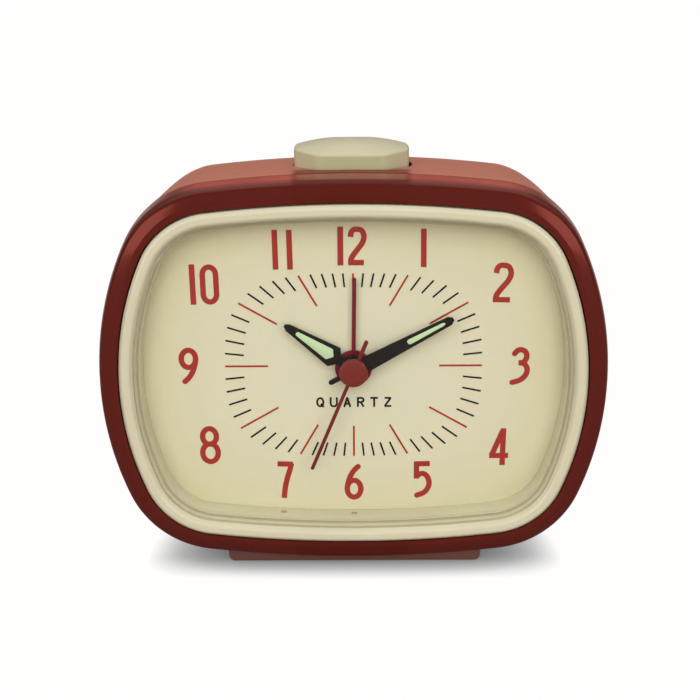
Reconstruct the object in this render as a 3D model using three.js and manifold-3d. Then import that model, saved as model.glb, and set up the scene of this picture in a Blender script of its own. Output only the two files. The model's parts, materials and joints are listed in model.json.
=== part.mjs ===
// Quartz analogue alarm clock: red two-part case, cream bezel, domed lens, four hands, one button
// on top, with its movement and battery inside.
// Millimetres. +X right, +Y towards the back, +Z up. Origin on the table under the clock's middle.
// Depths are counted backwards from the plane where bezel and front frame meet.
import * as THREE from 'three';
import { mergeVertices } from 'three/addons/utils/BufferGeometryUtils.js';
import { ParametricGeometry } from 'three/addons/geometries/ParametricGeometry.js';
import Module from 'manifold-3d';

const wasm = await Module();
wasm.setup();

// ---- driving dimensions ----
const JOINT_Y = -24.0; // y of depth 0
const CASE_Z = 44.6; // centre of the case outline
const AXIS_Z = 44.85; // axis of the hands
const AXIS = [0, AXIS_Z];

// bezel / frame joint line, made of arcs; every other outline is an offset of it
const JOINT_HALF_WIDTH = 51.0;
const JOINT_HALF_HEIGHT = 38.5;
const TOP_RADIUS = 272.7;
const SIDE_RADIUS = 66.3;
const CORNER_RADIUS = 17.5;

const FRAME_OFFSET = 4.5;
const SHELL_OFFSET = 4.1;
const WALL = 2.0;
const SEAM_DEPTH = 9.9; // frame to shell
const SEAM_HALF_GAP = 0.15;
const BACK_DEPTH = 41.0;
const DIAL_DEPTH = 7.2;
const DIAL_THICKNESS = 0.8;

const BUTTON = {
  halfWidth: 12.67,
  halfDepth: 8.8,
  x: -0.25, // the cap sits a little to one side of its opening
  capDepth: 22.9,
  stemDepth: 24.7,
  flangeZ: 82.2,
  edgeZ: 90.5,
  topZ: 92.2,
};

const HAND = { // degrees clockwise from 12, and [front, back] depths
  alarm: { degrees: 0.8, depths: [5.6, 6.0] },
  hour: { degrees: 304.1, depths: [4.5, 4.9] },
  minute: { degrees: 61.6, depths: [3.5, 3.9] },
  second: { degrees: 202.4, depths: [2.5, 2.7] },
};
const TUBE_PROUD = 0.05; // a hand's tube stands this far in front of the hand

// gears: tooth counts, modules and centre distances
const PINION = 8;
const TEETH = {
  seconds: 48, intermediate: 40, third: 60, centre: 64,
  minute: 24, hour: 32, alarm: 36, alarmSet: 12,
};
const meanTeeth = (one, other) => (one + other) / 2;
const TRAIN_MODULE = 0.22;
const INTERMEDIATE_DISTANCE = meanTeeth(TEETH.seconds, PINION) * TRAIN_MODULE;
const ROTOR_DISTANCE = meanTeeth(TEETH.intermediate, PINION) * TRAIN_MODULE;
const THIRD_DISTANCE = meanTeeth(TEETH.third, PINION) * TRAIN_MODULE;
const CENTRE_MODULE = THIRD_DISTANCE / meanTeeth(TEETH.centre, PINION);
const MINUTE_DISTANCE = 8.0;
const MINUTE_MODULE = MINUTE_DISTANCE / meanTeeth(TEETH.minute, PINION);
const HOUR_MODULE = MINUTE_DISTANCE / meanTeeth(TEETH.hour, PINION);
const ALARM_MODULE = 0.4;
const ALARM_DISTANCE = meanTeeth(TEETH.alarm, TEETH.alarmSet) * ALARM_MODULE;

// places of shafts, as [x, z]
const INTERMEDIATE = [0, AXIS_Z - INTERMEDIATE_DISTANCE];
const ROTOR = [0, INTERMEDIATE[1] - ROTOR_DISTANCE];
const THIRD = [0, AXIS_Z + THIRD_DISTANCE];
const TIME_SET = [-MINUTE_DISTANCE, AXIS_Z];
const ALARM_SET = [ALARM_DISTANCE, AXIS_Z];

const MOVEMENT_HALF = 26.0; // half side of the movement case
const BATTERY = { z: 18.5, depth: 31.0, radius: 7.1 };
const DOOR = { z: 18.6, halfWidth: 29.2, halfHeight: 8.1, gap: 0.4 };
const BUZZER_Z = 68;
const SWITCH_X = 32;

// ---- materials ----
const RED = 0x86332b;
const CREAM = 0xdad2ae;
const BLACK = 0x1b1b1c;
const STEEL = 0xb9bcc0;
const BRASS = 0xb8923f;
const FINISH = {
  frame: { color: RED, roughness: 0.25 },
  shell: { color: RED, roughness: 0.3 },
  door: { color: RED, roughness: 0.35 },
  knob: { color: RED, roughness: 0.4 },
  bezel: { color: CREAM, roughness: 0.35 },
  funnel: { color: CREAM, roughness: 0.45 },
  slider: { color: CREAM, roughness: 0.4 },
  lens: { color: 0xf4f6f2, roughness: 0.05 },
  dial: { color: 0xdcd4b1, roughness: 0.7 },
  plinth: { color: 0x5c342d, roughness: 0.45 },
  button: { color: 0xcfc8ae, roughness: 0.4 },
  pad: { color: BLACK, roughness: 0.9 },
  chip: { color: BLACK, roughness: 0.6 },
  buzzer: { color: BLACK, roughness: 0.5 },
  rotor: { color: BLACK, roughness: 0.4, metalness: 0.5 },
  white: { color: 0xe9e7e0, roughness: 0.5 },
  board: { color: 0x2f6b45, roughness: 0.5 },
  coil: { color: BRASS, roughness: 0.45, metalness: 0.6 },
  brassWheel: { color: BRASS, roughness: 0.4, metalness: 0.8 },
  brassLeaf: { color: BRASS, roughness: 0.3, metalness: 1 },
  stator: { color: STEEL, roughness: 0.4, metalness: 1 },
  steel: { color: STEEL, roughness: 0.35, metalness: 1 },
  contact: { color: STEEL, roughness: 0.3, metalness: 1 },
  crystal: { color: STEEL, roughness: 0.25, metalness: 1 },
  battery: { color: 0x8d6a35, roughness: 0.35, metalness: 0.5 },
  crimson: { color: 0x7a1420, roughness: 0.35 },
  ink: { color: 0x24201e, roughness: 0.4 },
  lume: { color: 0xcde4b2, roughness: 0.6 },
  handBoss: { color: 0x80302a, roughness: 0.3 },
};

// ---- geometry and solids ----
function indexed(positions, index) {
  const geometry = new THREE.BufferGeometry();
  geometry.setAttribute('position', new THREE.BufferAttribute(Float32Array.from(positions), 3));
  geometry.setIndex(index);
  return geometry;
}
// welds the vertices, drops collapsed triangles and turns the faces outwards
function clean(geometry) {
  const loose = new THREE.BufferGeometry();
  const source = geometry.index ? geometry.toNonIndexed() : geometry;
  loose.setAttribute('position', source.attributes.position);
  const welded = mergeVertices(loose, 1e-4);
  const { position } = welded.attributes;
  const corner = (i) => new THREE.Vector3().fromBufferAttribute(position, i);
  const triangles = [];
  let volume = 0;
  for (let i = 0; i < welded.index.count; i += 3) {
    const [p, q, r] = welded.index.array.slice(i, i + 3);
    if (p === q || q === r || p === r) continue;
    triangles.push([p, q, r]);
    volume += corner(p).dot(corner(q).cross(corner(r)));
  }
  if (volume < 0) triangles.forEach((triangle) => triangle.reverse());
  return indexed(position.array, triangles.flat());
}
function toManifold(body) {
  if (!body.isBufferGeometry) return body;
  const geometry = clean(body);
  return new wasm.Manifold(new wasm.Mesh({
    numProp: 3,
    vertProperties: Float32Array.from(geometry.attributes.position.array),
    triVerts: Uint32Array.from(geometry.index.array),
  }));
}
function toGeometry(body) {
  if (body.isBufferGeometry) return clean(body);
  const mesh = body.getMesh();
  return indexed(mesh.vertProperties, Array.from(mesh.triVerts));
}
const join = (...bodies) => bodies.map(toManifold).reduce((sum, body) => sum.add(body));
const cut = (...bodies) => bodies.map(toManifold).reduce((rest, body) => rest.subtract(body));
const common = (one, other) => toManifold(one).intersect(toManifold(other));

const clock = new THREE.Group();
function add(name, body, finish, parent = clock) {
  const geometry = toGeometry(body);
  geometry.computeVertexNormals();
  const mesh = new THREE.Mesh(geometry, new THREE.MeshStandardMaterial({ metalness: 0, ...finish }));
  mesh.name = name;
  parent.add(mesh);
}

// ---- plane figures: lists of [x, z], or [x, y] for plans ----
const yAt = (depth) => JOINT_Y + depth;
const span = (half, centre = 0) => [centre - half, centre + half];
const polar = ([x, z], radius, angle) =>
  [x + radius * Math.cos(angle), z + radius * Math.sin(angle)];
const circle = (radius, centre, sides) =>
  Array.from({ length: sides }, (_, i) => polar(centre, radius, (2 * Math.PI * i) / sides));
// closes a right-hand half outline with its mirror image in x
const mirrored = (half) => [...half, ...[...half].reverse().map(([x, z]) => [-x, z])];
function trace(path, points) {
  path.setFromPoints(points.map(([x, z]) => new THREE.Vector2(x, z)));
  path.closePath();
  return path;
}

// ---- basic bodies; ranges are [low, high], places are [x, z] ----
function extrude(points, length, hole) {
  const shape = trace(new THREE.Shape(), points);
  if (hole) shape.holes.push(trace(new THREE.Path(), hole));
  return new THREE.ExtrudeGeometry(shape, { depth: length, bevelEnabled: false });
}
// figure in x and z, extruded through a range of depths
function slab(points, [front, back], hole) {
  return extrude(points, back - front, hole).rotateX(Math.PI / 2).translate(0, yAt(back), 0);
}
// plan figure in x and y, standing between two heights
function prism(points, x, depth, [bottom, top]) {
  return extrude(points, top - bottom).translate(x, yAt(depth), bottom);
}
function box([left, right], [front, back], [bottom, top]) {
  return new THREE.BoxGeometry(right - left, back - front, top - bottom)
    .translate((left + right) / 2, yAt((front + back) / 2), (bottom + top) / 2);
}
const lathe = (points, sides) =>
  new THREE.LatheGeometry(points.map(([radius, y]) => new THREE.Vector2(radius, y)), sides);
// turned about a front-to-back axis; points are [radius, depth]
const turned = (points, [x, z], sides) =>
  lathe(points, sides).translate(x, JOINT_Y, z);
const rodProfile = (radius, [start, end]) =>
  [[0, start], [radius, start], [radius, end], [0, end]];
const rod = (radius, depths, place, sides = 12) =>
  turned(rodProfile(radius, depths), place, sides);
// upright round bar on the button stem's depth
const pillar = (radius, heights, x) =>
  lathe(rodProfile(radius, heights), 14).rotateX(Math.PI / 2)
    .translate(x, yAt(BUTTON.stemDepth), 0);
// cylinder lying along x
const barrel = (radius, length, sides, x, depth, z) =>
  new THREE.CylinderGeometry(radius, radius, length, sides)
    .rotateZ(Math.PI / 2).translate(x, yAt(depth), z);

// closed surface over equal rings of [x, y, z], with a fan to a tip at each end
function loft(rings, startTip, endTip) {
  const last = rings.length + 1;
  const count = rings[0].length;
  return new ParametricGeometry((u, v, target) => {
    const i = Math.round(v * last);
    const j = Math.round(u * count) % count;
    if (i === 0) target.set(...startTip);
    else if (i === last) target.set(...endTip);
    else target.set(...rings[i - 1][j]);
  }, count, last);
}

// coil along +z
function coilSpring(radius, turns, length) {
  const wireRadius = 0.3;
  const stepsPerTurn = 9;
  class Helix extends THREE.Curve {
    getPoint(t, target = new THREE.Vector3()) {
      const [x, y] = polar([0, 0], radius, 2 * Math.PI * turns * t);
      return target.set(x, y, length * t);
    }
  }
  return new THREE.ExtrudeGeometry(trace(new THREE.Shape(), circle(wireRadius, [0, 0], 5)), {
    steps: Math.round(turns * stepsPerTurn),
    extrudePath: new Helix(),
    bevelEnabled: false,
  });
}

// directions in the dial plane, seen from the front
const RIGHT = 0;
const UP = Math.PI / 2;
const LEFT = Math.PI;
const DOWN = -Math.PI / 2;
const TRAIN_WHEEL = { gap: true, land: 0 };
// Short teeth with running clearance. A tooth, or a gap if asked, points towards the mating gear.
// land: half width of a tooth tip as a fraction of the pitch.
function gear(teeth, module, depths, place, towards, { gap = false, land = 0.06 } = {}) {
  const radius = (teeth * module) / 2;
  const tip = radius + 0.62 * module;
  const root = radius - 1.05 * module;
  const pitch = (2 * Math.PI) / teeth;
  const tipEdges = land ? [-land, land] : [0];
  const points = [];
  for (let i = 0; i < teeth; i++) {
    const angle = towards + (gap ? pitch / 2 : 0) + i * pitch;
    points.push(...tipEdges.map((edge) => polar(place, tip, angle + edge * pitch)));
    points.push(polar(place, root, angle + 0.5 * pitch));
  }
  return slab(points, depths);
}

// ---- case outline: four large arcs and four corner arcs ----
const sideX = JOINT_HALF_WIDTH - SIDE_RADIUS; // centre of the right arc
const topZ = JOINT_HALF_HEIGHT - TOP_RADIUS; // centre of the top arc
// The corner arc touches both large arcs from inside: its centre is where two circles meet.
const cornerCentre = (() => {
  const fromTop = TOP_RADIUS - CORNER_RADIUS;
  const fromSide = SIDE_RADIUS - CORNER_RADIUS;
  const distance = Math.hypot(sideX, topZ);
  const along = (fromTop ** 2 - fromSide ** 2 + distance ** 2) / (2 * distance);
  const across = Math.sqrt(fromTop ** 2 - along ** 2);
  return [
    (along * sideX - across * topZ) / distance,
    topZ - (along * topZ + across * sideX) / distance,
  ];
})();
const sideAngle = Math.atan2(cornerCentre[1], cornerCentre[0] - sideX);
const topAngle = Math.atan2(cornerCentre[1] - topZ, cornerCentre[0]);

const arcSteps = (centre, radius, from, to, steps) =>
  Array.from({ length: steps }, (_, i) => [centre, radius, from + ((to - from) * i) / steps]);
const QUARTER = [ // [arc centre, radius, angle] from the right side up to the top middle
  ...arcSteps([sideX, 0], SIDE_RADIUS, 0, sideAngle, 2),
  ...arcSteps(cornerCentre, CORNER_RADIUS, sideAngle, topAngle, 5),
  ...arcSteps([0, topZ], TOP_RADIUS, topAngle, UP, 2),
  [[0, topZ], TOP_RADIUS, UP],
];
function outline(offset, scale = 1) {
  const quarter = QUARTER.map(([centre, radius, angle]) =>
    polar(centre, radius + offset, angle).map((value) => value * scale));
  const topLeft = quarter.slice(0, -1).reverse().map(([x, z]) => [-x, z]);
  const upper = [...quarter, ...topLeft];
  const lower = upper.slice(1, -1).reverse().map(([x, z]) => [x, -z]);
  return [...upper, ...lower].map(([x, z]) => [x, CASE_Z + z]);
}
// closed profile of [offset, depth] carried round the outline
function hoop(profile) {
  const rows = profile.map(([offset]) => outline(offset));
  const rowCount = rows.length;
  const count = rows[0].length;
  return new ParametricGeometry((u, v, target) => {
    const i = Math.round(u * rowCount) % rowCount;
    const [x, z] = rows[i][Math.round(v * count) % count];
    target.set(x, yAt(profile[i][1]), z);
  }, rowCount, count);
}
// stacked outlines [offset, depth, scale] closed by a flat cap at each end
function stack(sections) {
  const rings = sections.map(([offset, depth, scale]) =>
    outline(offset, scale).map(([x, z]) => [x, yAt(depth), z]));
  const tip = ([, depth]) => [0, yAt(depth), CASE_Z];
  return loft(rings, tip(sections[0]), tip(sections.at(-1)));
}
// one place on the middle of each corner arc
function fourCorners(offset) {
  const middle = (sideAngle + topAngle) / 2;
  const [x, z] = polar(cornerCentre, CORNER_RADIUS + offset, middle);
  return [[x, CASE_Z + z], [-x, CASE_Z + z], [x, CASE_Z - z], [-x, CASE_Z - z]];
}
const CASE_SCREWS = fourCorners(-2.7);
const cornerRods = (radius, depths, sides, places = CASE_SCREWS) =>
  places.map((place) => rod(radius, depths, place, sides));

// ---- front of the case; profiles are [offset, depth] ----
function frontFrame() {
  const seam = SEAM_DEPTH - SEAM_HALF_GAP;
  const profile = [ // convex face, then the tongue behind the seam
    [0.15, 1.4], [0.15, 0.3], [0.8, 0.1], [2.2, 0.3], [3.4, 0.95], [4.15, 2.1],
    [FRAME_OFFSET, 3.8], [FRAME_OFFSET, seam], [1.85, seam], [1.85, 12.3],
    [0.6, 12.3], [0.6, 8.9], [2.4, 6.9], [2.4, 3.2], [0.15, 3.0],
  ];
  const webs = cornerRods(2.5, [5.6, 9.6], 10, fourCorners(0.2));
  const bosses = cornerRods(2.2, [8.2, 12.2], 12);
  return cut(join(hoop(profile), ...webs, ...bosses), ...cornerRods(1.3, [8.0, 13], 10));
}
// rounded ring with a ledge that carries the lens
function bezelRing() {
  return hoop([
    [-0.15, 3.0], [-0.15, 0.2], [-0.55, -0.5], [-1.3, -0.95], [-2.1, -1.0],
    [-2.8, -0.5], [-3.15, 0.2], [-3.15, 1.7], [-4.4, 1.7], [-4.4, 3.0],
  ]);
}
function lens() {
  const edge = -3.45;
  const rimFront = 0.1;
  const domeBack = 1.45;
  const section = (base, scale) => [edge, base - (1 - scale * scale), scale];
  return stack([
    section(rimFront, 0.45), section(rimFront, 0.8),
    [edge, rimFront, 0.99], [edge, 0.3, 1], [edge, 1.5, 1],
    section(domeBack, 0.8), section(domeBack, 0.45),
  ]);
}
// wall between bezel and dial
function dialFunnel() {
  return hoop([[-4.45, 3.1], [-4.8, 7.1], [-3.6, 7.1], [-3.6, 4.8], [-1.0, 4.8], [-1.0, 3.1]]);
}
function dial() {
  const edge = -3.6;
  const plate = stack([[edge, DIAL_DEPTH], [edge, DIAL_DEPTH + DIAL_THICKNESS]]);
  return cut(plate, rod(3.6, [6, 10], AXIS, 20));
}

// ---- rear shell ----
const SHELL_FLANK = [[SHELL_OFFSET, 14], [3.5, 26], [2.75, 34]]; // [offset, depth]
const flank = (grow) => SHELL_FLANK.map(([offset, depth]) => [offset + grow, depth]);

function buttonPlan(grow) {
  const halfWidth = BUTTON.halfWidth + grow;
  const halfDepth = BUTTON.halfDepth + grow;
  const back = mirrored([
    [halfWidth, 2.6], [halfWidth - 1.1, 4.3], [8.6 + grow, halfDepth - 1.3],
    [6.9 + grow, halfDepth - 0.25], [5.2, halfDepth],
  ]);
  return [...back, ...[...back].reverse().map(([x, y]) => [x, -y])];
}
function shellOpenings() {
  const throughBack = [38, 42];
  const grille = [[-7.2, 5], [-3.6, 8], [0, 9], [3.6, 8], [7.2, 5]]; // slot [x, half height]
  return [
    ...cornerRods(2.4, [22, 42], 12),
    ...cornerRods(1.4, [12, 23], 10),
    prism(buttonPlan(0.4), 0, BUTTON.capDepth, [81.0, 90]),
    pillar(2.5, [70, 78], 0),
    // battery door seat and opening
    box(span(DOOR.halfWidth + DOOR.gap), [39.35, 42], span(DOOR.halfHeight + DOOR.gap, DOOR.z)),
    box([-28.0, 26.4], [38, 40], span(7, DOOR.z)),
    ...[TIME_SET, ALARM_SET].map((place) => rod(2.0, throughBack, place, 14)),
    box(span(1.6, SWITCH_X), throughBack, [60.5, 70.5]),
    ...grille.map(([x, half]) => box(span(0.7, x), throughBack, span(half, BUZZER_Z))),
  ];
}
function rearShell() {
  const outer = toManifold(stack([
    [SHELL_OFFSET, SEAM_DEPTH + SEAM_HALF_GAP], ...flank(0),
    [1.9, 38.3], [0.9, 40.1], [-1.1, BACK_DEPTH],
  ]));
  const inner = stack([
    [SHELL_OFFSET - WALL, 8.9], ...flank(-WALL), [-0.1, 37.2], [-1.9, 38.8],
  ]);
  const posts = join(...cornerRods(2.9, [12.6, 39.6], 12));
  // cheeks of the battery bay, standing on the floor and the back wall
  const cheeks = [[27.2, 28.8], [-31.6, -30.0]].map((width) =>
    common(box(width, [23.2, 39.2], [4.4, 25.8]), outer));
  // shelf that guides the button stem
  const shelf = [
    box([-14.5, -13.0], [17.5, 39.2], [73.6, 80.4]),
    box([13.0, 14.5], [17.5, 39.2], [73.6, 80.4]),
    box(span(14.5), [17.5, 33.2], [73.6, 75.2]),
  ];
  const body = join(cut(outer, inner), common(posts, outer), ...cheeks, ...shelf);
  return cut(body, ...shellOpenings());
}

// ---- plinth and pads ----
const footPad = (x, gap, top) => box(span(5 + gap, x), span(11 + gap, 20), [0, top]);
const PAD_X = 20;
function plinth() {
  const gap = 0.15; // around the case
  const halfWidth = 27.3;
  const caseSpace = stack([
    [FRAME_OFFSET + gap, 0], [FRAME_OFFSET + gap, SEAM_DEPTH + 0.3],
    [SHELL_OFFSET + gap, SEAM_DEPTH + 0.4], ...flank(gap), [2.25, 37.4],
  ]);
  const profile = mirrored([[halfWidth, 0.1], [halfWidth + 0.8, 0.9], [halfWidth + 1.0, 5]]);
  const recesses = [-PAD_X, PAD_X].map((x) => footPad(x, 0.3, 0.85));
  return cut(slab(profile, [3.4, 35.5]), caseSpace, ...recesses);
}

// ---- button: crowned cap, skirt, retaining flange and stem ----
function buttonCrown() {
  const { x, edgeZ, topZ: tipZ } = BUTTON;
  const bottom = 84.4;
  const y = yAt(BUTTON.capDepth);
  const levels = [ // [plan scale, z]
    [1, bottom], [1, edgeZ], [0.965, edgeZ + 0.48], [0.8, edgeZ + 0.93], [0.5, edgeZ + 1.39],
  ];
  const rings = levels.map(([scale, z]) =>
    buttonPlan(0).map(([planX, planY]) => [x + planX * scale, y + planY * scale, z]));
  return loft(rings, [x, y, bottom], [x, y, tipZ]);
}
function snoozeButton() {
  const { x, flangeZ, capDepth, stemDepth } = BUTTON;
  return join(
    buttonCrown(),
    prism(buttonPlan(0), x, capDepth, [flangeZ, 84.6]),
    box(span(13.9, x), span(4.5, stemDepth), [flangeZ, flangeZ + 1]),
    pillar(2.0, [72.6, 82.6], x),
  );
}
const snoozeSpring = () => coilSpring(3.2, 4.5, 6.2).translate(0, yAt(BUTTON.stemDepth), 75.6);

function addCase() {
  add('front_frame', frontFrame(), FINISH.frame);
  add('bezel_ring', bezelRing(), FINISH.bezel);
  add('lens', lens(), FINISH.lens);
  add('dial_funnel', dialFunnel(), FINISH.funnel);
  add('dial', dial(), FINISH.dial);
  add('rear_shell', rearShell(), FINISH.shell);
  add('plinth', plinth(), FINISH.plinth);
  add('foot_pad_left', footPad(-PAD_X, 0, 0.8), FINISH.pad);
  add('foot_pad_right', footPad(PAD_X, 0, 0.8), FINISH.pad);
  add('snooze_button', snoozeButton(), FINISH.button);
  add('snooze_spring', snoozeSpring(), FINISH.steel);
}

// ---- movement case and motor ----
const MOVEMENT_SCREWS = [22.6, -22.6].map((offset) => [offset, AXIS_Z + offset]);
const movementRods = (radius, depths, sides) =>
  MOVEMENT_SCREWS.map((place) => rod(radius, depths, place, sides));
const movementBlock = (half, depths) => box(span(half), depths, span(half, AXIS_Z));

function movementFrontPlate() {
  const plate = movementBlock(MOVEMENT_HALF, [8.6, 10.0]);
  return cut(plate, rod(3.3, [8, 11], AXIS, 20), ...movementRods(0.9, [8, 11], 8));
}
function movementBackCase() {
  const wall = 1.4;
  const hollow = movementBlock(MOVEMENT_HALF - wall, [9, 20.9]);
  const tray = cut(movementBlock(MOVEMENT_HALF, [10.1, 22.2]), hollow);
  return cut(
    join(tray, ...movementRods(2.2, [10.1, 21.5], 10)),
    ...movementRods(1.0, [9, 23], 8),
    ...[TIME_SET, ALARM_SET].map((place) => rod(1.5, [20, 23], place, 14)),
  );
}
function stator() {
  const foot = AXIS_Z - 23.6;
  const yoke = AXIS_Z - 16.6;
  const points = mirrored([[15, AXIS_Z - 6.9], [15, foot], [10, foot], [10, yoke]]);
  return slab(points, [16.5, 17.5], circle(3.9, ROTOR, 18));
}
function coil() {
  const strip = box(span(14.5), [17.6, 18.5], [AXIS_Z - 22, AXIS_Z - 19]);
  return join(barrel(3.1, 18.8, 18, 0, 15.9, AXIS_Z - 20.4), strip);
}

// ---- going train ----
const rotor = () => join(
  rod(3.1, [13.2, 18.4], ROTOR, 18),
  gear(PINION, TRAIN_MODULE, [18.3, 20.0], ROTOR, UP),
  rod(0.4, [11.0, 20.6], ROTOR, 8),
);
const intermediateWheel = () => join(
  gear(TEETH.intermediate, TRAIN_MODULE, [19.4, 20.0], INTERMEDIATE, DOWN, TRAIN_WHEEL),
  gear(PINION, TRAIN_MODULE, [18.0, 19.5], INTERMEDIATE, UP),
  rod(0.4, [17.7, 20.6], INTERMEDIATE, 8),
);
const secondsWheel = () => join(
  gear(TEETH.seconds, TRAIN_MODULE, [18.2, 18.8], AXIS, DOWN, TRAIN_WHEEL),
  gear(PINION, TRAIN_MODULE, [16.6, 18.3], AXIS, UP),
  rod(0.45, [2.55, 20.6], AXIS, 10),
);
const thirdWheel = () => join(
  gear(TEETH.third, TRAIN_MODULE, [16.8, 17.4], THIRD, DOWN, TRAIN_WHEEL),
  gear(PINION, CENTRE_MODULE, [15.2, 16.9], THIRD, DOWN),
  rod(0.4, [14.6, 20.6], THIRD, 8),
);
const centreWheel = () => cut(
  join(
    gear(TEETH.centre, CENTRE_MODULE, [15.4, 16.0], AXIS, UP, TRAIN_WHEEL),
    rod(1.7, [15.1, 16.3], AXIS, 14),
  ),
  rod(0.75, [14, 17], AXIS),
);

// ---- motion work and alarm setting ----
const tubeFront = (hand) => hand.depths[0] - TUBE_PROUD;
const cannonPinion = () => cut(
  join(
    gear(PINION, MINUTE_MODULE, [13.6, 14.6], AXIS, LEFT),
    rod(1.2, [tubeFront(HAND.minute), 14.9], AXIS, 14),
  ),
  rod(0.75, [2, 16], AXIS),
);
const minuteWheel = () => join(
  gear(TEETH.minute, MINUTE_MODULE, [13.6, 14.6], TIME_SET, RIGHT, { gap: true }),
  gear(PINION, HOUR_MODULE, [11.8, 13.7], TIME_SET, RIGHT),
  rod(0.9, [11.6, 22.6], TIME_SET, 10),
);
const hourWheel = () => cut(
  join(
    gear(TEETH.hour, HOUR_MODULE, [12.0, 12.8], AXIS, LEFT, { gap: true }),
    rod(2.0, [tubeFront(HAND.hour), 12.9], AXIS, 16),
  ),
  rod(1.5, [3, 14], AXIS, 14),
);
const alarmWheel = () => cut(
  join(
    gear(TEETH.alarm, ALARM_MODULE, [10.5, 11.3], AXIS, RIGHT),
    rod(2.9, [tubeFront(HAND.alarm), 11.4], AXIS, 18),
  ),
  rod(2.3, [4, 12], AXIS, 16),
);
const alarmSetPinion = () => join(
  gear(TEETH.alarmSet, ALARM_MODULE, [10.3, 11.6], ALARM_SET, LEFT, { gap: true }),
  rod(0.9, [10.3, 22.6], ALARM_SET),
);

function addMovement() {
  add('movement_front_plate', movementFrontPlate(), FINISH.white);
  add('movement_back_case', movementBackCase(), FINISH.white);
  add('stator', stator(), FINISH.stator);
  add('coil', coil(), FINISH.coil);
  add('rotor', rotor(), FINISH.rotor);
  add('intermediate_wheel', intermediateWheel(), FINISH.white);
  add('seconds_wheel', secondsWheel(), FINISH.white);
  add('third_wheel', thirdWheel(), FINISH.white);
  add('centre_wheel', centreWheel(), FINISH.brassWheel);
  add('cannon_pinion', cannonPinion(), FINISH.brassWheel);
  add('minute_wheel', minuteWheel(), FINISH.white);
  add('hour_wheel', hourWheel(), FINISH.white);
  add('alarm_wheel', alarmWheel(), FINISH.white);
  add('alarm_set_pinion', alarmSetPinion(), FINISH.white);
}

// ---- electronics ----
// leaf under the button stem
const snoozeContact = () => join(
  box([-4.5, 6.5], [24.4, 26.6], [70.2, 70.5]),
  box([5.6, 6.5], [24.4, 26.6], [66.0, 70.4]),
  box([3.5, 6.5], [23.7, 25.4], [66.0, 66.8]),
);
function buzzer() {
  const profile = [[0, 33.4], [11.6, 33.4], [12.0, 33.8], [12.0, 38.5], [0, 38.5]];
  return turned(profile, [0, BUZZER_Z], 22);
}
function addElectronics() {
  const board = box(span(19), [22.4, 23.6], [AXIS_Z + 6.5, AXIS_Z + 22]);
  add('circuit_board', board, FINISH.board);
  add('quartz_crystal', barrel(1.0, 6.0, 10, -10, 24.75, AXIS_Z + 18), FINISH.crystal);
  add('clock_chip', slab(circle(3.4, [6, AXIS_Z + 14], 14), [23.7, 24.7]), FINISH.chip);
  add('snooze_contact', snoozeContact(), FINISH.brassLeaf);
  add('buzzer', buzzer(), FINISH.buzzer);
}

// ---- battery, its contacts and door ----
function battery() {
  const profile = [ // [radius, x]
    [0, -24.7], [6.3, -24.7], [BATTERY.radius, -24.0], [BATTERY.radius, 23.6],
    [6.4, 24.4], [2.7, 24.4], [2.7, 25.5], [0, 25.5],
  ];
  return lathe(profile, 20).rotateZ(-Math.PI / 2).translate(-0.4, yAt(BATTERY.depth), BATTERY.z);
}
const contactPlate = (width, halfDepth, halfHeight) =>
  box(width, span(halfDepth, BATTERY.depth), span(halfHeight, BATTERY.z));
const plusContact = () =>
  join(contactPlate([25.7, 26.9], 4.5, 5), contactPlate([25.35, 25.8], 1.5, 1.5));
function minusContact() {
  const spring = coilSpring(3.4, 2.5, 3.0).rotateY(Math.PI / 2)
    .translate(-28.6, yAt(BATTERY.depth), BATTERY.z);
  return join(spring, contactPlate([-29.7, -28.7], 4.5, 5));
}
function batteryDoor() {
  const ribs = [23.2, 21.2].map((z) =>
    box(span(5), [BACK_DEPTH - 0.2, BACK_DEPTH + 0.5], [z, z + 0.8]));
  return join(
    box(span(DOOR.halfWidth), [39.6, BACK_DEPTH], span(DOOR.halfHeight, DOOR.z)),
    box(span(24), [39.3, 39.8], span(6.4, DOOR.z)),
    ...ribs,
  );
}
function addPower() {
  add('battery', battery(), FINISH.battery);
  add('battery_contact_plus', plusContact(), FINISH.contact);
  add('battery_contact_minus', minusContact(), FINISH.contact);
  add('battery_door', batteryDoor(), FINISH.door);
}

// ---- back controls: knurled knobs on long stems, slide switch ----
function knob(place) {
  const radius = 6.2;
  const ridges = 18;
  const points = circle(radius, place, ridges).flatMap((ridge, i) =>
    [ridge, polar(place, radius - 0.45, ((2 * i + 1) * Math.PI) / ridges)]);
  const stem = rod(1.4, [22.7, BACK_DEPTH + 0.8], place);
  return join(slab(points, [BACK_DEPTH + 0.6, 49.0]), stem);
}
const alarmSwitch = () => join(
  box(span(1.3, SWITCH_X), [37.9, 43.2], [61.0, 66.0]),
  box(span(3, SWITCH_X), [37.6, 38.4], [58.6, 68.4]),
);
function addControls() {
  add('time_set_knob', knob(TIME_SET), FINISH.knob);
  add('alarm_set_knob', knob(ALARM_SET), FINISH.knob);
  add('alarm_switch', alarmSwitch(), FINISH.slider);
}

// ---- screws; profiles are [radius, depth] ----
function addScrews(name, places, sides, profile) {
  places.forEach((place, i) =>
    add(`${name}_${i + 1}`, turned(profile, place, sides), FINISH.steel));
}
function addFasteners() {
  addScrews('case_screw', CASE_SCREWS, 10, [
    [0, 8.4], [1.15, 8.4], [1.15, 22.2], [2.1, 22.2], [2.1, 23.8], [0.9, 23.8], [0, 23.1],
  ]);
  addScrews('movement_screw', MOVEMENT_SCREWS, 8, [
    [0, 8.8], [0.8, 8.8], [0.8, 22.3], [1.7, 22.3], [1.7, 23.3], [0.6, 23.3], [0, 22.9],
  ]);
}

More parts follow.
